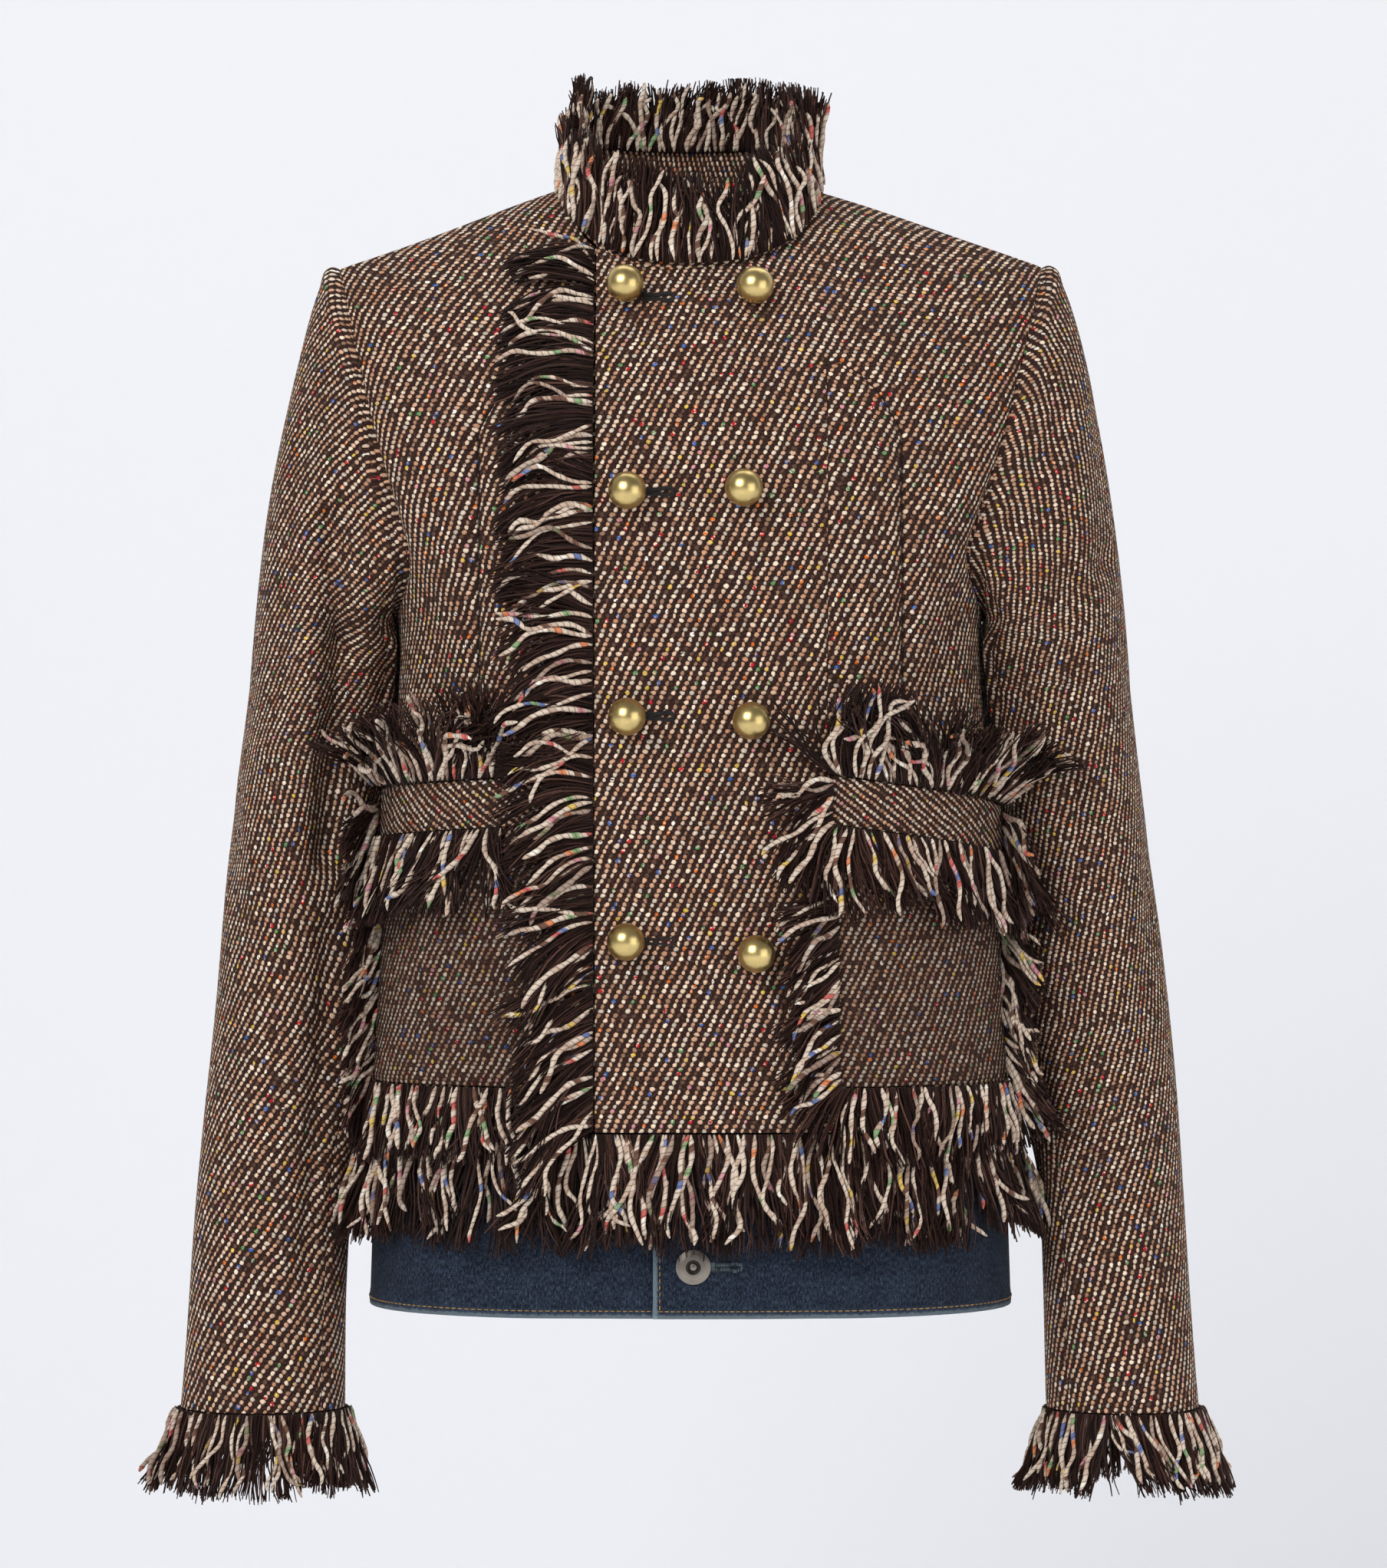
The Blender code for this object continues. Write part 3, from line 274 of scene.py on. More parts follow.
# ---- array helpers ----
DOWN = np.array((0.0, 0.0, -1.0))


def vec(x, y, z):
    return np.stack(np.broadcast_arrays(x, y, z), -1).astype(float)


def unit(v):
    return v / np.maximum(np.linalg.norm(v, axis=-1, keepdims=True), 1e-12)


def dot(a, b):
    return np.sum(a * b, axis=-1, keepdims=True)


def between(start, end, share):
    return start + (end - start) * share


def smoothstep(edges, value):
    share = np.clip((value - edges[0]) / (edges[1] - edges[0]), 0.0, 1.0)
    return share * share * (3.0 - 2.0 * share)


def length_along(points, axis):
    """Length from the first point to each, along an axis of a grid of points."""
    return running(np.linalg.norm(np.diff(points, axis=axis), axis=-1), axis)


def running(steps, axis):
    """Running sum along an axis, from 0."""
    start = np.zeros_like(np.take(steps, [0], axis))
    return np.concatenate((start, np.cumsum(steps, axis=axis)), axis=axis)


def spoke(turn):
    """Level direction away from the middle, turn radians from the front."""
    return vec(np.sin(turn), -np.cos(turn), 0.0 * turn)


def wrap(turn):
    return np.mod(turn + math.pi, 2.0 * math.pi) - math.pi


def side_label(side):
    return "left" if side > 0 else "right"


def smooth_table(table, z):
    """Columns of the table at heights z, off smooth curves through its rows."""
    rows = np.array(table, float)
    z = np.asarray(z, float)
    last = len(rows) - 1
    high = np.clip(np.searchsorted(-rows[:, 0], -z) - 1, 0, last - 1)
    p0, p1 = rows[np.maximum(high - 1, 0)], rows[high]
    p2, p3 = rows[high + 1], rows[np.minimum(high + 2, last)]
    span = (p2 - p1)[..., :1]
    t = np.clip((z[..., None] - p1[..., :1]) / span, 0.0, 1.0)
    slope_in = (p2 - p0) / (p2 - p0)[..., :1] * span
    slope_out = (p3 - p1) / (p3 - p1)[..., :1] * span
    values = hermite(p1, slope_in, p2, slope_out, t)
    return np.moveaxis(values, -1, 0)[1:]


def hermite(start, leave, end, arrive, t):
    return ((2 * t**3 - 3 * t**2 + 1) * start + (t**3 - 2 * t**2 + t) * leave
            + (3 * t**2 - 2 * t**3) * end + (t**3 - t**2) * arrive)


# ---- body surface, as on the solids ----
def shoulder_height(x):
    """Height of the shoulder seam, rounded where it meets the neck."""
    return -SHOULDER_SLOPE * (np.hypot(x, SHOULDER_SOFTEN) - math.hypot(NECK_HALF, SHOULDER_SOFTEN))


def turn_at_x(x, z, front=True):
    """Angle round the body, from the centre front, of the point at x."""
    half_width, front_depth, back_depth = smooth_table(BODY_RINGS, z)
    depth = front_depth if front else back_depth
    share = np.clip(np.abs(x) / half_width, 0.0, 0.9999)
    y = depth * (1.0 - share**ROUNDNESS) ** (1.0 / ROUNDNESS)
    return np.copysign(np.arctan2(np.abs(x), y if front else -y), x)


def body_skin(turn, z):
    """Outer face of the body, turn radians from the centre front."""
    turn, z = np.broadcast_arrays(np.asarray(turn, float), np.asarray(z, float))
    half_width, front_depth, back_depth = smooth_table(BODY_RINGS, z)
    side, ahead = np.sin(turn), np.cos(turn)
    front = ahead >= 0.0
    depth = np.where(front, front_depth, back_depth)
    radius = (np.abs(side / half_width) ** ROUNDNESS
              + np.abs(ahead / depth) ** ROUNDNESS) ** (-1.0 / ROUNDNESS)
    x = radius * side
    fall = np.where(front, FRONT_FALL, BACK_FALL)
    power = np.where(front, FRONT_FALL_POWER, BACK_FALL_POWER)
    drop = np.clip((shoulder_height(x) - z) / fall, 0.0, 1.0)
    share = (1.0 - (1.0 - drop) ** power) ** (1.0 / power)
    return vec(x, RIDGE_Y - radius * ahead * share, z)


def body_normal(turn, z):
    """Direction out of the body's face."""
    along = body_skin(turn + 0.01, z) - body_skin(turn - 0.01, z)
    across = body_skin(turn, z + TINY) - body_skin(turn, z - TINY)
    normal = unit(np.cross(along, across))
    return np.where(dot(normal, spoke(turn)) > 0.0, normal, -normal)


def body_point(turn, z, lift=0.0):
    return body_skin(turn, z) + body_normal(turn, z) * np.asarray(lift)[..., None]


def lap_drop(x, z):
    """How far the under front is pushed in, beneath the upper front."""
    return LAP_DROP * smoothstep(LAP_FADE, x) * smoothstep(LAP_FADE_Z, z)


def neckline(share, front=True):
    """Neckline as (turn, z), from the middle (0) to the shoulder seam (1)."""
    angle = 0.5 * math.pi * np.clip(share, 0.0, 1.0)
    x = NECK_HALF * np.sin(angle) ** NECK_SQUARE
    z = (NECK_FRONT_Z if front else NECK_BACK_Z) * np.maximum(np.cos(angle), 0.0) ** NECK_SQUARE
    return turn_at_x(x, z, front), z


def neckline_signed(share):
    """Front neckline, where share runs from -1 at one shoulder to 1 at the other."""
    turn, z = neckline(np.abs(share))
    return np.copysign(turn, share), z


def neck_share_at_x(x):
    share = 2.0 / math.pi * math.asin((abs(x) / NECK_HALF) ** (1.0 / NECK_SQUARE))
    return math.copysign(share, x)


def neck_at_x(x):
    """Turn and z of the front neckline at x."""
    return [float(v) for v in neckline_signed(np.array(neck_share_at_x(x)))]


def shoulder_edge(share, front=True):
    """Shoulder seam as (turn, z), from the neck (0) to its tip (1)."""
    x = between(NECK_HALF, SHOULDER_HALF, share)
    z = shoulder_height(x)
    return turn_at_x(x, z, front), z


def armhole_edge(share, front=True):
    """From the shoulder tip (0) down to the underarm (1), at +X."""
    z_tip = shoulder_height(SHOULDER_HALF)
    share = np.clip(share, 0.0, 1.0)
    z = z_tip + (UNDERARM_Z - z_tip) * (1.0 - np.cos(math.pi * share)) * 0.5
    front_x, back_x = smooth_table(ARMHOLE, z)
    side_x = front_x if front else back_x
    notch_x = (ARMHOLE[-1].front_x if front else ARMHOLE[-1].back_x)
    notch_x = notch_x / smooth_table(BODY_RINGS, NOTCH_Z)[0]
    notch_y = (1.0 - notch_x**ROUNDNESS) ** (1.0 / ROUNDNESS)
    below = np.clip((NOTCH_Z - z) / (NOTCH_Z - UNDERARM_Z), 0.0, 1.0)
    y = notch_y * np.sqrt(np.maximum(1.0 - below * below, 0.0))
    half_width = smooth_table(BODY_RINGS, z)[0]
    notch = half_width * (1.0 - y**ROUNDNESS) ** (1.0 / ROUNDNESS)
    turn = turn_at_x(np.where(z > NOTCH_Z, side_x, notch), z, front)
    return np.where(share >= 1.0, 0.5 * math.pi, turn), z


def armhole_loop(turn):
    """Armhole at +X as (turn, z): 0 tip, 0.25 front, 0.5 underarm, 0.75 back."""
    turn = np.mod(turn, 1.0)
    front = armhole_edge(turn * 2.0, True)
    back = armhole_edge((1.0 - turn) * 2.0, False)
    return (np.where(turn <= 0.5, front[0], back[0]), np.where(turn <= 0.5, front[1], back[1]))


# ---- sleeve surface, as on the solids ----
SHOULDER_NORMAL = unit(np.array((SHOULDER_SLOPE, 0.0, 1.0)))
ARM_MIDDLE = np.array((0.170, RIDGE_Y, -0.14))  # middle of the armhole, at +X


def tube_point(side, turn, z):
    """Sleeve tube at +X below the bicep; turn 0 is its outer side, 0.25 its front."""
    turn, z = np.broadcast_arrays(np.asarray(turn, float), np.asarray(z, float))
    outer, inner, middle_y, half_depth = smooth_table(SLEEVE_TUBE, z)
    inner = inner + SLEEVE_SWING[side] * smoothstep(SLEEVE_SWING_Z, z)
    angle = 2.0 * math.pi * turn
    x = 0.5 * (outer + inner) + 0.5 * (outer - inner) * np.cos(angle)
    return vec(x, middle_y - half_depth * np.sin(angle), z)


def near_tip(turn, reach):
    """Whether turn is next to the shoulder's tip, with a column for each coordinate."""
    return ((np.mod(turn, 1.0) < reach) | (np.mod(turn, 1.0) > 1.0 - reach))[..., None]


def armhole_outward(turn):
    """Direction out of the body's edge at its armhole, along the cloth."""
    step = 0.004
    here = body_skin(*armhole_loop(turn))
    along = unit(body_skin(*armhole_loop(turn + step)) - body_skin(*armhole_loop(turn - step)))
    normal = np.where(near_tip(turn, step), SHOULDER_NORMAL, body_normal(*armhole_loop(turn)))
    along = np.where(near_tip(turn, step), np.array((0.0, -1.0, 0.0)), along)
    across = unit(np.cross(normal, along))
    return np.where(dot(across, ARM_MIDDLE - here) > 0.0, across, -across)


def cap_point(side, turn, share):
    """Sleeve head at +X, from the armhole (0) to the bicep (1)."""
    angle = 2.0 * math.pi * turn
    start = body_skin(*armhole_loop(turn)) + armhole_outward(turn) * SLEEVE_SEAM
    end = tube_point(side, turn, BICEP_Z)
    reach = np.linalg.norm(end - start, axis=-1, keepdims=True)
    leave = unit(vec(0.70, -0.25 * np.sin(angle), 0.5 * np.cos(angle) - 0.15)) * reach
    leave *= (CAP_BULGE[0] - CAP_BULGE[1] * np.cos(angle))[..., None]
    return hermite(start, leave, end, CAP_ARRIVE * reach, share[..., None])


# ---- meshes from arrays ----
def add_piece(name, points, faces, look, uv=None, marks=None, replaces=()):
    """Mesh object at the origin; faces holds one array for each size of face."""
    mesh = bpy.data.meshes.new(name)
    corners = np.concatenate([np.asarray(face).ravel() for face in faces]).astype(np.int32)
    sizes = np.concatenate([np.full(len(face), np.shape(face)[1]) for face in faces])
    mesh.vertices.add(len(points))
    mesh.vertices.foreach_set("co", np.asarray(points, np.float32).ravel())
    mesh.loops.add(len(corners))
    mesh.loops.foreach_set("vertex_index", corners)
    mesh.polygons.add(len(sizes))
    starts = np.concatenate(([0], np.cumsum(sizes)[:-1])).astype(np.int32)
    mesh.polygons.foreach_set("loop_start", starts)
    mesh.update(calc_edges=True)
    if uv is not None:
        layer = mesh.uv_layers.new(name=UV)
        layer.data.foreach_set("uv", np.asarray(uv, np.float32).ravel())
    for mark, values in (marks or {}).items():
        layer = mesh.attributes.new(mark, "FLOAT", "POINT")
        layer.data.foreach_set("value", np.asarray(values, np.float32).ravel())
    mesh.materials.append(look)
    mesh.shade_smooth()
    made = bpy.data.objects.new(name, mesh)
    bpy.context.scene.collection.objects.link(made)
    return settle(made, replaces)


def settle(made, replaces=()):
    """Tie a finished piece to the frame."""
    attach(made, "root")
    if replaces:
        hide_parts(*replaces)
    return made


def grid_normals(points, outward):
    """Unit normals of a grid of points, on the side that outward points to."""
    rows, cols = np.gradient(points, axis=0), np.gradient(points, axis=1)
    normal = unit(np.cross(cols, rows))
    return np.where(dot(normal, outward) > 0.0, normal, -normal)


def shell(name, points, outward, uv, look, replaces, seam=None, wall=TWEED):
    """Closed wall of cloth, whose outer face is the grid of points.

    uv is the cloth's own measure at each point, in metres. seam is the distance
    to the nearest sewn line, under 0 on the far side of it.
    """
    rows, cols = points.shape[0] - 1, points.shape[1] - 1
    normals = grid_normals(points, outward)
    inner = points - normals * wall
    count = (rows + 1) * (cols + 1)
    index = np.arange(count).reshape(rows + 1, cols + 1)
    quads = np.stack((index[:-1, :-1], index[:-1, 1:], index[1:, 1:], index[1:, :-1]), -1)
    ring = np.concatenate((index[0, :], index[1:, -1], index[-1, -2::-1], index[-2:0:-1, 0]))
    following = np.roll(ring, -1)
    rim = np.stack((following, ring, ring + count, following + count), -1)
    across, down = np.gradient(points, axis=1), np.gradient(points, axis=0)
    if dot(np.cross(across, down), normals).mean() < 0.0:
        quads, rim = quads[..., ::-1], rim[:, ::-1]
    quads = quads.reshape(-1, 4)
    faces = np.concatenate((quads, quads[:, ::-1] + count, rim))
    measure = np.concatenate((uv.reshape(-1, 2), uv.reshape(-1, 2)))[faces.ravel()]
    seam = np.full(count, 1.0) if seam is None else seam.ravel()
    made = add_piece(name, np.concatenate((points.reshape(-1, 3), inner.reshape(-1, 3))),
                     [faces], look, measure, {"seam": np.tile(seam, 2)}, replaces)
    made.data.set_sharp_from_angle(angle=math.radians(FOLD_ANGLE))
    return made


def tubes(paths, radii, sides, up):
    """Swept tubes as (points, faces, uv); paths is (tube, step, 3), radii (tube, step)."""
    count, steps = paths.shape[:2]
    tangent = unit(np.gradient(paths, axis=1))
    aside = unit(np.cross(tangent, up[:, None, :]))
    lift = np.cross(aside, tangent)
    angle = 2.0 * math.pi * np.arange(sides) / sides
    ring = (np.cos(angle)[:, None] * aside[:, :, None, :]
            + np.sin(angle)[:, None] * lift[:, :, None, :])
    points = paths[:, :, None, :] + radii[:, :, None, None] * ring
    index = np.arange(count * steps * sides).reshape(count, steps, sides)
    beside = np.roll(index, -1, axis=2)
    walls = np.stack((index[:, :-1], index[:, 1:], beside[:, 1:], beside[:, :-1]), -1)
    along = length_along(paths, 1)
    around = np.arange(sides + 1) / sides
    uv = np.empty((count, steps - 1, sides, 4, 2))
    uv[..., 0, 0] = uv[..., 1, 0] = around[:-1]
    uv[..., 2, 0] = uv[..., 3, 0] = around[1:]
    uv[..., 0, 1] = uv[..., 3, 1] = along[:, :-1, None]
    uv[..., 1, 1] = uv[..., 2, 1] = along[:, 1:, None]
    ends = np.concatenate((index[:, 0, :], index[:, -1, ::-1]))
    end_uv = np.zeros((len(ends) * sides, 2))
    end_uv[:, 1] = np.repeat(np.concatenate((along[:, 0], along[:, -1])), sides)
    return (points.reshape(-1, 3), [walls.reshape(-1, 4), ends],
            np.concatenate((uv.reshape(-1, 2), end_uv)))


# ---- the cloth's own measure ----
MAP_TURNS = np.linspace(-math.pi, math.pi, 361)
MAP_HEIGHTS = np.linspace(HEM_Z - 0.02, 0.03, 140)
MAP_RISE = length_along(body_skin(MAP_TURNS[:, None], MAP_HEIGHTS[None, :]), 1)
MAP_GIRTH = length_along(body_skin(MAP_TURNS, np.full(len(MAP_TURNS), CHEST_Z)), 0)
MAP_GIRTH -= MAP_GIRTH[len(MAP_TURNS) // 2]


def body_measure(turn, z):
    """Width round the body and length up it, as the cloth lies, from (turn, z)."""
    wrapped = wrap(turn)
    column = (wrapped + math.pi) / (2.0 * math.pi) * (len(MAP_TURNS) - 1)
    row = (z - MAP_HEIGHTS[0]) / (MAP_HEIGHTS[-1] - MAP_HEIGHTS[0]) * (len(MAP_HEIGHTS) - 1)
    left = np.clip(column.astype(int), 0, len(MAP_TURNS) - 2)
    low = np.clip(row.astype(int), 0, len(MAP_HEIGHTS) - 2)
    a, b = column - left, row - low
    rise = ((1 - a) * ((1 - b) * MAP_RISE[left, low] + b * MAP_RISE[left, low + 1])
            + a * ((1 - b) * MAP_RISE[left + 1, low] + b * MAP_RISE[left + 1, low + 1]))
    return np.stack((np.interp(wrapped, MAP_TURNS, MAP_GIRTH), rise), -1)


# ---- creases and seams pressed into the cloth ----
# each crease: x and z of its top and of its foot, its depth, its width, whether in front
BODY_CREASES = (
    (0.108, -0.110, 0.110, -0.270, 0.0022, 0.0065, True),
    (-0.108, -0.115, -0.111, -0.275, 0.0020, 0.0065, True),
    (0.143, -0.200, 0.125, -0.260, 0.0024, 0.0100, True),
    (-0.141, -0.205, -0.126, -0.265, 0.0022, 0.0100, True),
    (0.135, -0.110, 0.118, -0.175, 0.0016, 0.0120, True),
    (-0.137, -0.105, -0.120, -0.170, 0.0016, 0.0120, True),
    (0.020, -0.300, 0.026, -0.455, 0.0012, 0.0140, True),
    (0.085, -0.060, 0.052, -0.130, 0.0012, 0.0120, True),
    (-0.085, -0.060, -0.056, -0.135, 0.0010, 0.0120, True),
    (0.0, -0.020, 0.0, -0.400, 0.0012, 0.0090, False),
    (0.120, -0.090, 0.088, -0.210, 0.0024, 0.0130, False),
    (-0.118, -0.085, -0.092, -0.220, 0.0022, 0.0130, False),
    (0.060, -0.240, 0.052, -0.430, 0.0018, 0.0150, False),
    (-0.064, -0.250, -0.049, -0.420, 0.0016, 0.0150, False),
)
CREASE_FADE = 0.02  # how far past its ends a crease runs out


def press_creases(points):
    """How far the body's soft creases push its face in, measured off each one's line."""
    x, y, z = np.moveaxis(points, -1, 0)
    total = 0.0 * x
    for top_x, top_z, foot_x, foot_z, depth, width, front in BODY_CREASES:
        past = np.maximum(np.maximum(z - top_z, foot_z - z), 0.0)
        aside = x - np.interp(z, (foot_z, top_z), (foot_x, top_x))
        push = depth * np.exp(-(aside / width) ** 2 - (past / CREASE_FADE) ** 2)
        total += push * ((y < RIDGE_Y) == front)
    return total


def slow_waves(points):
    """Gentle unevenness of worn cloth, in metres."""
    x, y, z = np.moveaxis(points, -1, 0)
    return 0.0008 * (np.sin(31.0 * x + 17.0 * z + 9.0 * y) + np.sin(23.0 * z - 41.0 * x + 2.0)
                     * np.cos(19.0 * y + 1.0))


def edge_distance(points, borders):
    """Distance of each grid point from the named borders, measured along the grid."""
    left, top = length_along(points, 1), length_along(points, 0)
    distances = {"left": left, "right": left[:, -1:] - left, "top": top, "bottom": top[-1:] - top}
    return np.minimum.reduce([distances[border] for border in borders])


def turn_in(distance, depth=SEAM_TUCK, width=SEAM_WIDTH):
    """How far cloth is pulled in next to a seam."""
    return depth * np.exp(-(distance / width) ** 2)


# ---- fronts and back ----
def blend_edges(top, bottom, near, far, u, v):
    """Coons patch over (turn, z)."""
    one = np.ones_like(u)
    values = []
    for i in range(2):
        ruled = ((1 - v) * top(u)[i] + v * bottom(u)[i]
                 + (1 - u) * near(v)[i] + u * far(v)[i])
        corners = ((1 - u) * (1 - v) * top(0.0 * one)[i] + u * (1 - v) * top(one)[i]
                   + (1 - u) * v * bottom(0.0 * one)[i] + u * v * bottom(one)[i])
        values.append(ruled - corners)
    return values


def row_height(v, top_z):
    """Height of a panel's row at its near edge."""
    upper = top_z + (UNDERARM_Z - top_z) * v / ARM_SHARE
    lower = UNDERARM_Z + (HEM_Z - UNDERARM_Z) * (v - ARM_SHARE) / (1.0 - ARM_SHARE)
    return np.where(v < ARM_SHARE, upper, lower)


def side_edge(v, front):
    """Far edge of a panel as (turn, z): down the armhole, then down the side seam."""
    share = np.clip(v / ARM_SHARE, 0.0, 1.0) ** ARMHOLE_SPACING
    arm_turn, arm_z = armhole_edge(share, front)
    arm = v < ARM_SHARE
    return (np.where(arm, arm_turn, 0.5 * math.pi),
            np.where(arm, arm_z, row_height(v, UNDERARM_Z)))


def unit_grid(cols, rows):
    """Shares across and down a grid of cells."""
    return np.meshgrid(np.linspace(0.0, 1.0, cols + 1), np.linspace(0.0, 1.0, rows + 1))


def panel_sheet(turn, z, side, shoulder, drop=None, front=True):
    """Cloth of one body panel from its grid of (turn, z), mirrored to its side.

    shoulder marks the columns that end at the shoulder seam; drop tells how far the
    panel is pushed in beneath another.
    """
    flat = body_skin(turn, z)
    normal = body_normal(turn, z)
    mirrored = flat * vec(side, 1.0, 1.0)
    inward = (drop(flat) if drop else 0.0) + press_creases(mirrored)
    inward = inward + slow_waves(mirrored)
    top = edge_distance(flat, ("top",))
    distance = np.minimum(edge_distance(flat, ("right",)), np.where(shoulder, top, 1.0))
    inward = inward + turn_in(distance)
    seam = np.full(turn.shape, 1.0)
    if front:
        level = np.exp(-((z - NOTCH_Z) / ARMHOLE_FOLD_RISE) ** 2)
        inward = inward + ARMHOLE_FOLD[side] * level * np.exp(-(distance / 0.007) ** 2)
        seam, outer_side = seam_panel_distance(flat)
        inward = inward + turn_in(np.abs(seam), 0.0005 + 0.0012 * outer_side, DART_WIDTH)
        # the seam distance is scaled so that the tweed's painted seam shade is wide along the
        # panel's outer seam and narrow along its inner one
        seam = seam * (3.0 - 2.25 * outer_side)
    points = (flat - normal * inward[..., None]) * vec(side, 1.0, 1.0)
    outward = normal * vec(side, 1.0, 1.0)
    uv = body_measure(turn * side, z)
    return points, outward, uv, seam


def seam_panel_distance(flat):
    """Distance from the sewn panel's outline, under 0 inside it, and nearness to its outer seam."""
    inner, outer, top_z = SEAM_PANEL
    x, z = flat[..., 0], flat[..., 2]
    bent_top = top_z - SEAM_PANEL_BEND * (x - inner) ** 2 / (outer - inner)
    beside = np.maximum(inner - x, x - outer)
    return np.maximum(beside, z - bent_top), smoothstep((inner, outer), x)


def front_panel(side, lap_x, cols, look):
    """A front: its far edge is the side seam, its near edge laps over the middle."""
    lap = lap_x * side
    neck_start = neck_share_at_x(lap)
    lap_top = neck_at_x(lap)[1]

    def top(u):
        neck = neckline_signed(neck_start + (1.0 - neck_start) * u / FRONT_NECK_SHARE)
        past = (u - FRONT_NECK_SHARE) / (1.0 - FRONT_NECK_SHARE)
        shoulder = shoulder_edge(np.clip(past, 0.0, 1.0))
        return [np.where(u < FRONT_NECK_SHARE, a, b) for a, b in zip(neck, shoulder)]

    def near(v):
        z = row_height(v, lap_top)
        return turn_at_x(lap, z), z

    def far(v):
        return side_edge(v, True)

    def bottom(u):
        first = turn_at_x(lap, np.array(HEM_Z))
        return between(first, 0.5 * math.pi, u), HEM_Z + 0.0 * u

    def drop(flat):
        return lap_drop(-flat[..., 0], flat[..., 2])

    u, v = unit_grid(cols, PANEL_ROWS)
    turn, z = blend_edges(top, bottom, near, far, u, v)
    points, outward, uv, seam = panel_sheet(turn, z, side, u >= FRONT_NECK_SHARE,
                                            drop if side < 0 else None)
    name = "front_" + side_label(side)
    return shell(name + "_cloth", points, outward, uv, look, (name,), seam)


def back_panel(look):
    """Back: half a grid from the centre back to the side, and its mirror."""
    split = BACK_NECK_SHARE

    def top(u):
        neck = neckline(np.clip(u / split, 0.0, 1.0), False)
        shoulder = shoulder_edge(np.clip((u - split) / (1.0 - split), 0.0, 1.0), False)
        return [np.where(u < split, a, b) for a, b in zip(neck, shoulder)]

    def near(v):
        return math.pi + 0.0 * v, row_height(v, NECK_BACK_Z)

    def far(v):
        return side_edge(v, False)

    def bottom(u):
        return math.pi - 0.5 * math.pi * u, HEM_Z + 0.0 * u

    u, v = unit_grid(BACK_COLS, PANEL_ROWS)
    turn, z = blend_edges(top, bottom, near, far, u, v)
    halves = []
    for side in (-1, 1):
        points, outward, uv, seam = panel_sheet(turn, z, side, u >= split, front=False)
        uv[..., 0] = np.where(uv[..., 0] * side < 0.0, uv[..., 0] + side * 2.0 * MAP_GIRTH[-1],
                              uv[..., 0])
        if side > 0:
            uv[..., 0] -= 2.0 * MAP_GIRTH[-1]
        halves.append((points, outward, uv, seam))
    left, right = halves
    joined = [np.concatenate((a[:, ::-1][:, :-1], b), axis=1) for a, b in zip(left, right)]
    points, outward, uv, seam = joined
    return shell("back_cloth", points, outward, uv, look, ("back",), seam)


# ---- sleeves ----
# each fold of a sleeve: turn and z of its two ends, its depth and its width
SLEEVE_FOLDS = {
    1: (
        (0.180, -0.120, 0.285, -0.180, 0.0050, 0.010),
        (0.225, -0.200, 0.270, -0.330, 0.0050, 0.012),
        (0.100, -0.195, 0.290, -0.222, 0.0042, 0.008),
        (0.060, -0.120, 0.120, -0.190, 0.0020, 0.012),
        (0.300, -0.380, 0.330, -0.540, 0.0026, 0.010),
        (0.060, -0.350, 0.150, -0.430, 0.0016, 0.012),
        (0.800, -0.150, 0.700, -0.240, 0.0050, 0.012),
        (0.860, -0.330, 0.760, -0.410, 0.0024, 0.013),
    ),
    -1: (
        (0.245, -0.175, 0.300, -0.235, 0.0100, 0.010),
        (0.300, -0.235, 0.325, -0.345, 0.0115, 0.009),
        (0.150, -0.130, 0.165, -0.260, 0.0030, 0.012),
        (0.395, -0.165, 0.215, -0.200, 0.0030, 0.009),
        (0.335, -0.390, 0.345, -0.560, 0.0052, 0.010),
        (0.050, -0.330, 0.160, -0.400, 0.0018, 0.012),
        (0.780, -0.160, 0.700, -0.260, 0.0050, 0.012),
        (0.850, -0.350, 0.770, -0.420, 0.0024, 0.013),
    ),
}


def fold_depth(side, turn, z):
    """How far the sleeve's folds push its face in, measured off each fold's line."""
    total = 0.0 * turn
    for turn_a, z_a, turn_b, z_b, depth, width in SLEEVE_FOLDS[side]:
        best = np.full(turn.shape, 9.0)
        for whole in (-1.0, 0.0, 1.0):
            across, up = (turn + whole - turn_a) * FOLD_GIRTH, z - z_a
            run, rise = (turn_b - turn_a) * FOLD_GIRTH, z_b - z_a
            share = np.clip((across * run + up * rise) / (run * run + rise * rise), 0.0, 1.0)
            aside = np.hypot(across - share * run, up - share * rise)
            best = np.minimum(best, aside)
        total = total + depth * np.exp(-(best / width) ** 2)
    return total


def sleeve_core(side, z):
    """Middle line of a sleeve at +X; above the bicep it runs straight up."""
    level = np.minimum(z, BICEP_Z)
    core = 0.5 * (tube_point(side, 0.0 * z, level) + tube_point(side, 0.0 * z + 0.5, level))
    core[..., 2] = z
    return core


def sleeve_surface(side, turn, share):
    """Outer face of a sleeve at +X, from the armhole (0) to the cuff (1)."""
    cap = cap_point(side, turn, np.clip(share / CAP_SHARE, 0.0, 1.0) ** CAP_SPACING)
    part = np.clip((share - CAP_SHARE) / (1.0 - CAP_SHARE), 0.0, 1.0)
    tube = tube_point(side, turn, between(BICEP_Z, CUFF_Z, part))
    point = np.where((share < CAP_SHARE)[..., None], cap, tube)
    toward = sleeve_core(side, point[..., 2]) - point
    toward[..., 2] = 0.0
    toward = unit(toward)
    edge = smoothstep((0.0, 0.06), share)
    return point + toward * (fold_depth(side, turn, point[..., 2]) * edge)[..., None]


def soften(directions):
    """Unit directions along a row, each averaged with its neighbours."""
    reach = 4
    padded = np.concatenate((np.repeat(directions[:1], reach, 0), directions,
                             np.repeat(directions[-1:], reach, 0)))
    sums = sum(padded[i:i + len(directions)] for i in range(2 * reach + 1))
    return unit(sums)


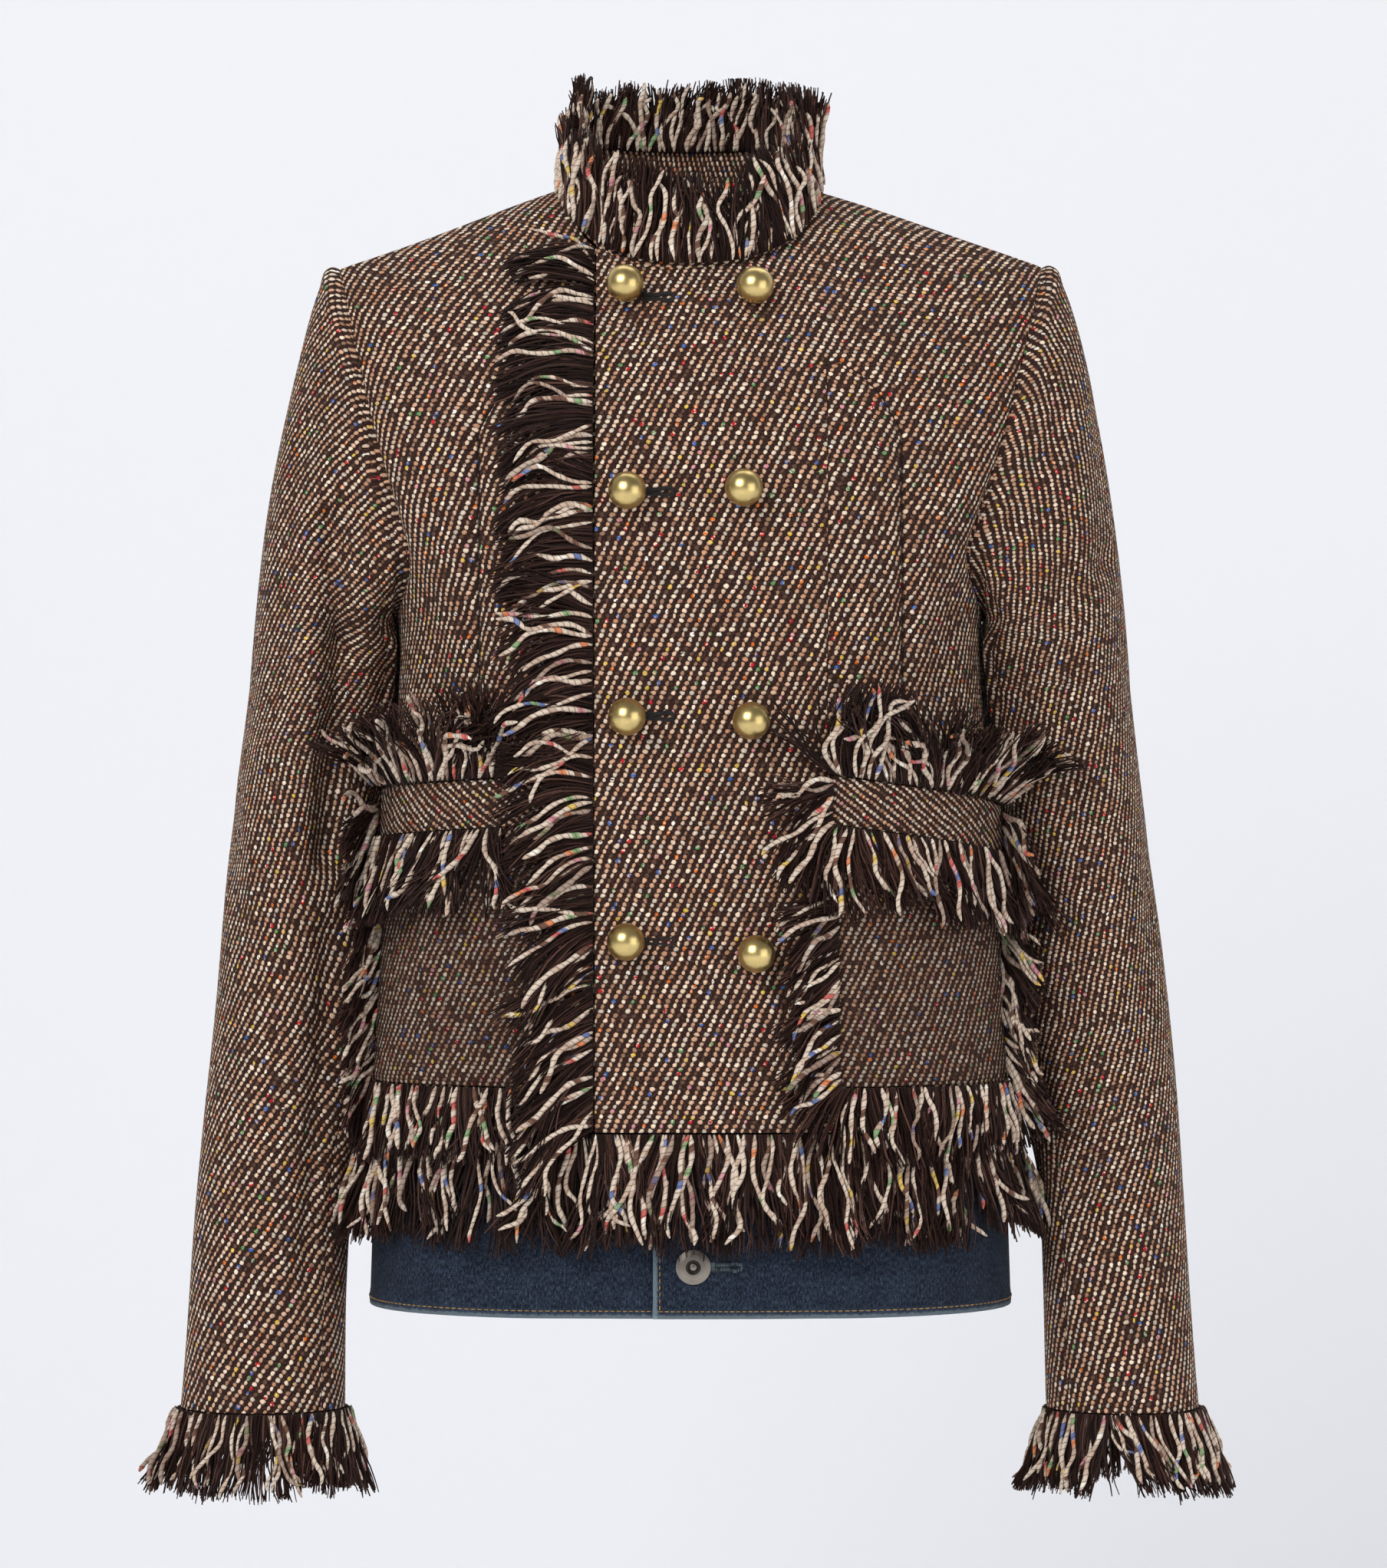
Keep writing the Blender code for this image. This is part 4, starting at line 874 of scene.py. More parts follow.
def turn_grain(uv, angle):
    """Turn the cloth's measure, so that the weave leans by angle."""
    cosine, sine = math.cos(angle), math.sin(angle)
    u, v = uv[..., 0], uv[..., 1]
    return np.stack((u * cosine + v * sine, v * cosine - u * sine), -1)


def bend_grain(uv, table):
    """Turn and scale a sleeve's measure as the table says at each height."""
    heights, degrees, fineness = zip(*table)
    steps = np.linspace(0.0, heights[-1], 400)
    angles = np.radians(np.interp(steps, heights, degrees))
    scales = np.interp(steps, heights, fineness)
    stride = (steps[1] - steps[0]) * scales
    middle_u, middle_v = np.cumsum(np.sin(angles) * stride), np.cumsum(np.cos(angles) * stride)
    u, v = uv[..., 0], uv[..., 1]
    beside = (u - float(u.mean())) * np.interp(v, steps, scales)
    angle = np.interp(v, steps, angles)
    return np.stack((np.interp(v, steps, middle_u) + beside * np.cos(angle),
                     np.interp(v, steps, middle_v) - beside * np.sin(angle)), -1)


RELAX = 0.16  # share of a length's error that one round takes off
DIAGONAL_STIFFNESS = 0.6


def lay_flat(points, uv, every=4, rounds=400):
    """Relax uv, so that lengths in it match those over the points, as flat cloth."""
    rows = np.unique(np.append(np.arange(0, points.shape[0], every), points.shape[0] - 1))
    cols = np.unique(np.append(np.arange(0, points.shape[1], every), points.shape[1] - 1))
    solid, flat = points[np.ix_(rows, cols)], uv[np.ix_(rows, cols)].copy()
    whole = slice(None)
    pairs = (((whole, slice(1, None)), (whole, slice(None, -1)), 1.0),
             ((slice(1, None), whole), (slice(None, -1), whole), 1.0),
             ((slice(1, None), slice(1, None)), (slice(None, -1), slice(None, -1)),
              DIAGONAL_STIFFNESS),
             ((slice(1, None), slice(None, -1)), (slice(None, -1), slice(1, None)),
              DIAGONAL_STIFFNESS))
    lengths = [np.linalg.norm(solid[a] - solid[b], axis=-1, keepdims=True) for a, b, _ in pairs]
    for _ in range(rounds):
        move = np.zeros_like(flat)
        for (a, b, stiff), length in zip(pairs, lengths):
            gap = flat[a] - flat[b]
            span = np.maximum(np.linalg.norm(gap, axis=-1, keepdims=True), 1e-9)
            pull = gap * ((span - length) / span) * (RELAX * stiff)
            move[a] -= pull
            move[b] += pull
        flat += move
    across = np.stack([np.stack([np.interp(np.arange(points.shape[1]), cols, flat[i, :, k])
                                 for k in (0, 1)], -1) for i in range(len(rows))])
    return np.stack([np.stack([np.interp(np.arange(points.shape[0]), rows, across[:, j, k])
                               for k in (0, 1)], -1) for j in range(points.shape[1])], 1)


def armhole_normal(turn):
    """Face direction of the body at its armhole edge, at +X."""
    return np.where(near_tip(turn, 0.02), SHOULDER_NORMAL, body_normal(*armhole_loop(turn)))


def rest_on_side(points, turn):
    """Let the sleeve's inner side fall against the side of the body, at +X."""
    half_width, front_depth, back_depth = smooth_table(BODY_RINGS, points[..., 2])
    ahead = RIDGE_Y - points[..., 1]
    depth = np.where(ahead > 0.0, front_depth, back_depth)
    reach = np.clip(np.abs(ahead) / depth, 0.0, 0.999)
    body_x = half_width * (1.0 - reach**ROUNDNESS) ** (1.0 / ROUNDNESS)
    inner = np.exp(-((np.mod(turn, 1.0) - 0.5) / 0.13) ** 2)
    height = points[..., 2]
    level = smoothstep(REST_Z[0], height) * smoothstep(REST_Z[1], height)
    in_front = smoothstep((0.0, 0.03), ahead) * smoothstep((-0.27, -0.30), height)
    clear = REST_CLEAR[0] + REST_CLEAR[1] * in_front
    wanted = np.maximum(points[..., 0] - REST_PUSH * inner * level, body_x + clear)
    moved = points.copy()
    moved[..., 0] = np.minimum(points[..., 0], wanted)
    return moved


def sleeve(side, look):
    """Upper and under sleeve of one arm."""
    label = side_label(side)
    first, last = UNDER_SLEEVE
    made = []
    for kind, start, end, cols in (
            ("upper", last - 1.0 + SEAM_TURN, first - SEAM_TURN, UPPER_COLS),
            ("under", first + SEAM_TURN, last - SEAM_TURN, UNDER_COLS)):
        u, v = unit_grid(cols, SLEEVE_ROWS)
        turn = between(start, end, u)
        flat = sleeve_surface(side, turn, v)
        outward = flat - sleeve_core(side, flat[..., 2])
        upper = np.maximum(np.cos(2.0 * math.pi * turn), 0.0)
        rise = 0.5 * np.abs(outward[..., 0]) + upper * (0.02 + np.abs(outward[..., 0]))
        outward[..., 2] = np.where(v < CAP_SHARE, rise, 0.0)
        normal = grid_normals(flat, outward)
        head = edge_distance(flat, ("top",))
        inward = turn_in(np.minimum(edge_distance(flat, ("left", "right")), head))
        inward = inward + slow_waves(flat * 1.3 + 0.2 * side) * 0.9
        inward = inward - HEAD_ROLL * np.exp(-((head - 0.008) / 0.005) ** 2)
        middle, width = ARMHOLE_FOLD_TURN
        beneath = np.exp(-((turn - middle) / width) ** 2)
        inward = inward + ARMHOLE_FOLD[side] * beneath * np.exp(-(head / 0.0065) ** 2)
        seam_normal = soften(armhole_normal(turn[0]))
        near = np.exp(-(head / 0.0045) ** 2)[..., None]
        points = flat - unit(normal * (1.0 - near) + seam_normal * near) * inward[..., None]
        points = rest_on_side(points, turn)
        out = soften(armhole_outward(turn[0]))
        under = np.stack([points[0] - out * across - seam_normal * deep
                          for across, deep in ALLOWANCE])
        points = np.concatenate((under, points))
        normal = np.concatenate((np.broadcast_to(seam_normal, under.shape), normal))
        drop = length_along(points, 0)
        along = np.concatenate((turn[:len(ALLOWANCE)], turn)) * SLEEVE_GIRTH * -side
        uv = lay_flat(points, np.stack((along, drop[-1:] - drop), -1))
        uv = bend_grain(uv, SLEEVE_GRAIN[side])
        name = f"sleeve_{kind}_{label}"
        made.append(shell(name + "_cloth", points * vec(side, 1.0, 1.0),
                          normal * vec(side, 1.0, 1.0), uv, look, (name,)))
    return made


# ---- collar ----
def neck_point(turn):
    """Neckline point whose bearing from the neck's middle is turn."""
    low, high = np.zeros_like(turn), np.ones_like(turn)
    front = np.cos(turn) >= 0.0
    target = np.abs(np.sin(turn)) / np.maximum(np.abs(np.cos(turn)), 1e-6)

    def on_neck(share):
        ahead, behind = body_skin(*neckline(share, True)), body_skin(*neckline(share, False))
        return np.where(front[..., None], ahead, behind)

    for _ in range(30):
        share = 0.5 * (low + high)
        point = on_neck(share)
        bearing = np.abs(point[..., 0]) / np.maximum(np.abs(point[..., 1] - RIDGE_Y), 1e-6)
        low = np.where(bearing < target, share, low)
        high = np.where(bearing < target, high, share)
    point = on_neck(0.5 * (low + high))
    point[..., 0] = np.copysign(point[..., 0], np.sin(turn))
    return point


def collar_turn(share):
    """Angle round the neck of a share of the stand, which passes under itself at the lap."""
    return neck_at_x(LAP_EDGE_X)[0] + (2.0 * math.pi + STAND_UNDERLAP) * share


def collar_skin(share, height):
    """Outer face of the stand; its under end passes behind the lap."""
    share, height = np.broadcast_arrays(np.asarray(share, float), np.asarray(height, float))
    wrapped = wrap(collar_turn(share))
    lean = STAND_LEAN * height / STAND_HEIGHT
    tuck = LAP_DROP * smoothstep(STAND_TUCK, share)
    lifted = neck_point(wrapped) + vec(0.0 * height, 0.0, STAND_SEAT + height)
    return lifted - spoke(wrapped) * (lean + tuck)[..., None]


def collar_stand(look):
    """Stand collar, sewn a little below the neck's edge."""
    u, v = unit_grid(*STAND_CELLS)
    points = collar_skin(u, STAND_HEIGHT * v - STAND_ALLOWANCE * (1.0 - v))
    outward = spoke(collar_turn(u))
    uv = np.stack((u * STAND_LENGTH, v * STAND_HEIGHT), -1)
    return shell("collar_cloth", points, outward, uv, look, ("collar_stand",))


# ---- pockets and flaps ----
def on_front(side, turn_deg, z, lift):
    """Point over a front, which is pushed in near the lap on the wearer's right."""
    turn = np.radians(turn_deg)
    lift = np.asarray(lift) + 0.0 * turn
    if side < 0:
        lift = lift - lap_drop(-body_point(turn, z, lift)[..., 0], z)
    return body_point(turn, z, lift) * vec(side, 1.0, 1.0)


def flap_top(side, turn_deg):
    """Height of a flap's slanting top edge."""
    share = (turn_deg - FLAP_TURN[0]) / (FLAP_TURN[1] - FLAP_TURN[0])
    return FLAP_TOP_Z - FLAP_TILT[side] * share


def patch(kind, side, turn_deg, z, lift, mirrored, look):
    """Pocket or flap of cloth over a front; mirrored turns its weave the other way."""
    flat = on_front(side, turn_deg, z, lift)
    outward = np.stack((flat[..., 0], flat[..., 1] - RIDGE_Y, 0.0 * z), -1)
    normal = grid_normals(flat, outward)
    borders = edge_distance(flat, ("left", "right", "top", "bottom"))
    inward = turn_in(borders, PATCH_TUCK, PATCH_TUCK_WIDTH)
    inward = inward + slow_waves(flat) * (0.3 if mirrored else 0.5)
    uv = body_measure(np.radians(turn_deg) * side, z)
    if mirrored:
        uv = turn_grain(uv * (-FLAP_FINENESS, FLAP_FINENESS), math.radians(FLAP_GRAIN))
    else:
        uv = uv * POCKET_GRAIN
    name = kind + side_label(side)
    return shell(name + "_cloth", flat - normal * inward[..., None], normal, uv, look, (name,))


def pocket(side, look):
    u, v = unit_grid(*POCKET_CELLS)
    z = between(POCKET_BOTTOM_Z, POCKET_TOP_Z, v)
    return patch("pocket_", side, between(*POCKET_TURN, u), z, POCKET_LIFT, False, look)


def flap(side, look):
    u, v = unit_grid(*FLAP_CELLS)
    turn = between(*FLAP_TURN, u)
    z = flap_top(side, turn) - FLAP_HEIGHT * v
    return patch("flap_", side, turn, z, FLAP_LIFT, True, look)


# ---- fringe edges: a point of the strip at q along it, v out of it, lift off it ----
def collar_edge(q, v, lift):
    """Foot of the stand, where the fringe that hides it is sewn."""
    share = COLLAR_FRINGE_RUN * q
    off = np.asarray(LAY + STRIP_WALL + lift)[..., None]
    return collar_skin(share, GAP + STRIP * v) + spoke(collar_turn(share)) * off


def collar_inner_edge(q, v, lift):
    """Inside of the stand's top edge, round the back of the neck."""
    turn = math.pi + INNER_SPREAD * (q - 0.5)
    share = (turn - collar_turn(0.0)) / (collar_turn(1.0) - collar_turn(0.0))
    off = np.asarray(-lift - TWEED - 0.0012)[..., None]
    return collar_skin(share, STAND_HEIGHT - STRIP * (1.0 - v)) + spoke(turn) * off


def hem_edge(q, v, lift):
    """Hem, from the lap edge round to its end under the lap."""
    start = turn_at_x(LAP_EDGE_X - 0.003, np.array(HEM_Z))
    end = 2.0 * math.pi + turn_at_x(LAP_EDGE_X + 0.004, np.array(HEM_Z))
    turn = between(start, end, q)
    z = HEM_Z - GAP - STRIP * v + 0.0 * q
    under = (q > 0.5) & (np.cos(turn) > 0.0)
    drop = np.where(under, lap_drop(body_skin(turn, z)[..., 0], z), 0.0)
    return body_point(turn, z, lift - drop)


def hem_spread(q):
    """Yarns of the hem lean outwards towards the sides."""
    aside = hem_edge(q, 0.0, 0.0)[..., 0] / 0.20
    return vec(0.20 * aside * np.abs(aside), 0.0 * q, 0.0 * q)


def lap_edge(q, v, lift):
    """Upper front's edge, from the neck (0) down to the hem (1)."""
    top_z = neck_at_x(LAP_EDGE_X)[1] - 0.001
    z = between(top_z, HEM_Z, q)
    return body_point(turn_at_x(LAP_EDGE_X - GAP - STRIP * v, z), z, lift)


def lap_lean(q):
    """Yarns of the lap edge lean up at its top and down towards its foot."""
    return vec(0.0 * q, 0.0 * q, 0.22 - 0.62 * smoothstep((0.45, 0.9), q))


def lap_rise(q):
    """How far those yarns stand off, where they cross the flap and pocket."""
    return 0.002 + 0.009 * smoothstep((0.35, 0.52), q)


def cuff_edge(side):
    """Cuff, once round the sleeve."""
    def edge(q, v, lift):
        z = CUFF_Z - GAP - STRIP * v + 0.0 * q
        point = tube_point(side, 0.502 + 0.996 * q, z)
        away = unit(point - sleeve_core(side, z))
        return (point + away * np.asarray(lift)[..., None]) * vec(side, 1.0, 1.0)
    return edge


def flap_top_edge(side):
    """Top of a flap; on the wearer's right it starts where the lap's fringe ends."""
    inner = FLAP_TURN[0] if side > 0 else FLAP_TURN[0] + LAP_HIDDEN_TURN

    def edge(q, v, lift):
        turn = between(inner, FLAP_TURN[1], q)
        return on_front(side, turn, flap_top(side, turn) + GAP + STRIP * v, FLAP_LIFT + lift)
    return edge


def round_three_sides(step, counts, heights, width):
    """Point and outward direction down one side, along the bottom, up the other."""
    down, across, up = counts
    share = np.clip((step - down) / across, 0.0, 1.0)
    first = heights[0] * (1.0 - step / max(down, 1e-6)) if down else 0.0 * step
    x = width * share
    rise = np.where(step < down, first, 0.0)
    rise = np.where(step > down + across, heights[1] * (step - down - across) / up, rise)
    turned_by = np.clip(step - down + 0.5, 0.0, 1.0) if down else np.ones_like(step)
    turned_by = turned_by + np.clip(step - down - across + 0.5, 0.0, 1.0)
    angle = math.pi + 0.5 * math.pi * turned_by
    return x, rise, np.cos(angle), np.sin(angle)


def trim_edge(side, trim):
    """Edge of the strip round a pocket or flap; on the outer side it stands up."""
    inner, outer = trim.turns
    width = (outer - inner) * PATCH_SCALE
    total = sum(trim.counts)
    corner = total - trim.counts[2]

    def edge(q, v, lift):
        step = np.clip(q, 0.0, 1.0) * total
        x, rise, out_x, out_z = round_three_sides(step, trim.counts, trim.heights, width)
        fold = 0.5 * math.pi * smoothstep((corner - 0.5, corner + 0.5), step)
        off_edge = GAP + STRIP * v * np.cos(fold) - lift * np.sin(fold)
        turn = inner + (x + out_x * off_edge) / PATCH_SCALE
        z = trim.z_low + rise + out_z * off_edge
        z = z - trim.tilt * (turn - trim.tilt_from) / (outer - trim.tilt_from)
        raised = STRIP * v * np.sin(fold) + lift * np.cos(fold)
        return on_front(side, turn, z, trim.lift + raised)

    def lean(q):
        step = q * total
        outer_side = smoothstep((corner - 0.5, corner + 0.5), step)[:, None]
        ends = (trim.counts[0] - 0.5, trim.counts[0] + 1.0)
        inner_side = (1.0 - smoothstep(ends, step))[:, None]
        x, y, z = trim.outer_lean
        return (np.array((x * side, y, z)) * outer_side
                + np.array((0.0, 0.0, -0.45)) * inner_side)
    return edge, lean


def edge_length(edge):
    """Length of a fringe's edge."""
    points = edge(np.linspace(0.0, 1.0, 400), 1.0, 0.0)
    return float(np.linalg.norm(np.diff(points, axis=0), axis=-1).sum())


def yarn_paths(random, edge, q, form, kind, lean, rise, bunches, lift):
    """Centre lines of yarns that hang from a strip, in bunches that share a heading."""
    count = len(q)
    step = 0.0015
    along = unit(edge(q + step, 1.0, 0.0) - edge(q - step, 1.0, 0.0))
    root = edge(q, 0.15, lift)
    out = unit(edge(q, 1.0, 0.0) - edge(q, 0.0, 0.0))
    normal = unit(edge(q, 1.0, 0.001) - edge(q, 1.0, 0.0))
    heading = unit(out + normal * form.flare + (lean(q) if lean else 0.0))
    place = q * edge_length(edge) / BUNCH
    place = np.clip(place + 0.45 * np.sin(place * 1.7) + 1.0, 0.0, len(bunches) - 1.001)
    which = np.floor(place).astype(int)
    blend = smoothstep((0.30, 0.70), place - which)[:, None]
    draws = bunches[which] * (1.0 - blend) + bunches[which + 1] * blend
    own = random.standard_normal((count, 3))
    full = form.length * kind.length
    length = full * (1.0 + 0.07 * draws[:, 2] + kind.loose * 0.10 * own[:, 2])
    length = np.clip(length, LENGTH_LIMITS[0] * full, LENGTH_LIMITS[1] * full)
    sway = form.wild * (draws[:, 0] + kind.loose * own[:, 0])
    bend = form.wild * (2.2 * draws[:, 1] + kind.loose * 1.6 * own[:, 1])
    gather = (place - np.round(place)) * BUNCH * BUNCH_GATHER
    t = np.linspace(0.0, 1.0, kind.steps)
    phases = random.uniform(0.0, 2.0 * math.pi, (count, 2))
    beat = 2.0 * math.pi * (kind.beats * random.uniform(0.7, 1.3, count))[:, None] * t
    kink = kind.kink * random.uniform(0.4, 1.3, (count, 1))
    swing = (sway[:, None] + bend[:, None] * t + kink * np.sin(beat + phases[:, :1]) * t**0.4
             + 0.5 * kink * np.sin(2.45 * beat + 3.0 * phases[:, 1:]) * t)
    lifted = kind.kink * 0.7 * np.cos(beat + phases[:, 1:])
    lifted = lifted * t + form.wild * (0.8 * draws[:, 3:] + 0.4 * own[:, 2:]) * t
    aside = unit(np.cross(np.cross(heading, along), heading))
    face = unit(np.cross(aside, heading))
    face = np.where(dot(face, normal) < 0.0, -face, face)
    direction = (heading[:, None] * np.cos(swing)[..., None]
                 + aside[:, None] * np.sin(swing)[..., None]
                 + face[:, None] * np.sin(lifted)[..., None])
    direction = unit(direction + DOWN * (form.droop * 2.0 * t)[None, :, None])
    stride = length[:, None, None] / (kind.steps - 1)
    path = running(direction[:, 1:] * stride, 1) + root[:, None]
    path = path - aside[:, None] * (gather[:, None] * t * t)[..., None]
    if rise:
        path = path + normal[:, None] * (rise(q)[:, None] * (1.0 - (1.0 - t) ** 2))[..., None]
    return path, normal


def taper(kind, random, count):
    """Thickness along a yarn: strands thin out, and a spun yarn swells and is rounded off."""
    t = np.linspace(0.0, 1.0, kind.steps)
    if kind is STRAND:
        return 1.0 - 0.45 * t**3
    swell = (1.0 + 0.14 * np.sin(23.0 * t + random.uniform(0.0, 6.0, (count, 1)))
             + 0.10 * np.sin(51.0 * t + random.uniform(0.0, 6.0, (count, 1))))
    return swell * np.minimum(1.0, 0.35 + np.minimum(t, 1.0 - t) * 9.0)


def fringe(name, edge, form, looks, seed, lean=None, rise=None, pale_gap=1.0, node=None):
    """Fine dark strands in soft bunches, with pale twisted yarns among them.

    lean adds to the yarns' heading, rise lifts them off the cloth, and pale_gap
    spaces the pale ones out.
    """
    random = np.random.default_rng(seed)
    run = edge_length(edge)
    settings = bpy.context.scene.jacket_fringe
    bunches = random.standard_normal((int(run / BUNCH) + 4, 4))
    made = []
    for kind, spacing, thickness, look in (
            (STRAND, settings.strand_spacing, settings.strand_thickness, looks[0]),
            (YARN, settings.yarn_spacing * pale_gap, settings.yarn_thickness, looks[1])):
        count = int(run / spacing)
        q = (np.arange(count) + random.uniform(*kind.scatter, count)) / count
        q = np.clip(q, kind.margin, 1.0 - kind.margin)
        lift = random.uniform(*kind.lifts, count)
        path, up = yarn_paths(random, edge, q, form, kind, lean, rise, bunches, lift)
        radius = thickness * 0.5 * random.uniform(*kind.widths, (count, 1))
        radius = radius * taper(kind, random, count)
        points, faces, uv = tubes(path, radius, kind.sides, up)
        mark = np.repeat(random.uniform(0.0, 1.0, count), kind.steps * kind.sides)
        made.append(add_piece(name + kind.suffix, points, faces, look, uv,
                              {"yarn": mark}, (node or name,)))
    return made


# ---- looks ----
class Wire:
    """Output of a node; arithmetic on it adds Math nodes."""

    def __init__(self, finish, made, output=0):
        self.finish, self.made, self.socket = finish, made, made.outputs[output]

    def out(self, output):
        return Wire(self.finish, self.made, output)

    def math(self, operation, *others):
        values = dict(enumerate((self, *others)))
        return self.finish.node("ShaderNodeMath", {"operation": operation}, values)

    def __add__(self, other):
        return self.math("ADD", other)

    __radd__ = __add__

    def __mul__(self, other):
        return self.math("MULTIPLY", other)

    __rmul__ = __mul__

    def __sub__(self, other):
        return self.math("SUBTRACT", other)

    def __rsub__(self, other):
        return self.finish.node("ShaderNodeMath", {"operation": "SUBTRACT"}, {0: other, 1: self})

    def __truediv__(self, other):
        return self.math("DIVIDE", other)

    def __gt__(self, other):
        return self.math("GREATER_THAN", other)

    def __lt__(self, other):
        return self.math("LESS_THAN", other)


class Finish:
    """One material, and the method that adds its nodes."""

    def __init__(self, name):
        self.material = bpy.data.materials.new(name)
        self.material.use_nodes = True
        self.tree = self.material.node_tree
        self.shader = self.tree.nodes["Principled BSDF"]

    def node(self, kind, settings=None, values=None, output=0):
        made = self.tree.nodes.new(kind)
        for key, value in (settings or {}).items():
            if key == "stops":
                self.set_stops(made.color_ramp, value)
            elif key == "interpolation" and kind == "ShaderNodeValToRGB":
                made.color_ramp.interpolation = value
            else:
                setattr(made, key, value)
        for key, value in (values or {}).items():
            self.feed(made.inputs[key], value)
        return Wire(self, made, output)

    def set_stops(self, ramp, stops):
        while len(ramp.elements) < len(stops):
            ramp.elements.new(1.0)
        for element, (place, colour) in zip(ramp.elements, stops):
            element.position = place
            element.color = (*colour, 1.0)

    def feed(self, socket, value):
        if isinstance(value, Wire):
            self.tree.links.new(value.socket, socket)
        else:
            socket.default_value = value

    def set(self, **values):
        """Feed the shader's sockets, with _ for a space in their names."""
        for key, value in values.items():
            self.feed(self.shader.inputs[key.replace("_", " ")], value)

    def ramp(self, factor, stops, interpolation="LINEAR"):
        settings = {"stops": stops, "interpolation": interpolation}
        return self.node("ShaderNodeValToRGB", settings, {0: factor})

    def mix(self, factor, a, b, blend="MIX"):
        a, b = (v if isinstance(v, Wire) else (*v, 1.0) for v in (a, b))
        return self.node("ShaderNodeMix", {"data_type": "RGBA", "blend_type": blend},
                         {0: factor, 6: a, 7: b}, 2)

    def noise(self, vector, scale, detail=2.0, roughness=0.5):
        return self.node("ShaderNodeTexNoise", None, {
            "Vector": vector, "Scale": scale, "Detail": detail, "Roughness": roughness})

    def measure(self):
        """The cloth's or yarn's own UV map, in metres."""
        return self.node("ShaderNodeUVMap", {"uv_map": UV})

    def place(self):
        return self.node("ShaderNodeTexCoord", output=3)

    def mark(self, name):
        return self.node("ShaderNodeAttribute", {"attribute_name": name}, output=2)

    def split(self, vector):
        return self.node("ShaderNodeSeparateXYZ", None, {0: vector})

    def chance(self, x, y, z):
        """A draw of its own for each whole (x, y, z)."""
        return self.node("ShaderNodeTexWhiteNoise", {"noise_dimensions": "3D"},
                         {0: self.point(x, y, z)})

    def shade(self, colour, tone):
        return self.mix(1.0, colour, self.point(tone, tone, tone), "MULTIPLY")

    def smooth(self, value, low, high):
        """0 at low, 1 at high, eased between."""
        return self.node("ShaderNodeMapRange", {"interpolation_type": "SMOOTHSTEP"},
                         {0: value, 1: low, 2: high, 3: 0.0, 4: 1.0})

    def point(self, x, y=0.0, z=0.0):
        return self.node("ShaderNodeCombineXYZ", None, {0: x, 1: y, 2: z})

    def bump(self, height, distance, strength=1.0):
        return self.node("ShaderNodeBump", None,
                         {"Strength": strength, "Distance": distance, "Height": height})


def linear(code):
    """Linear colour from six hexadecimal figures."""
    values = [int(code[i:i + 2], 16) / 255.0 for i in (0, 2, 4)]
    return tuple(v / 12.92 if v <= 0.04045 else ((v + 0.055) / 1.055) ** 2.4 for v in values)


def mixed(a, b, share):
    """Colour that lies share of the way from a to b."""
    return tuple(between(x, y, share) for x, y in zip(a, b))


def darker(colour, share):
    return mixed(colour, (0.0, 0.0, 0.0), share)


FLECKS = (
    (0.00, linear("b8282c")), (0.17, linear("cf6a2a")), (0.32, linear("d3b04a")),
    (0.47, linear("5d8f57")), (0.62, linear("3c62a0")), (0.77, linear("c98a93")),
    (0.88, linear("ece4d6")),
)


def nub_stops(cream, beige):
    """Colours of the nubs: mostly cream to beige, with some brown."""
    brown = linear("5b4236")
    grey = mixed(cream, linear("8f8a84"), 0.45)
    return ((0.0, cream), (0.18, mixed(cream, beige, 0.4)), (0.36, mixed(cream, beige, 0.75)),
            (0.50, grey), (0.60, beige), (0.78, mixed(beige, linear("a0694a"), 0.4)),
            (0.86, mixed(beige, brown, 0.5)), (0.94, brown))


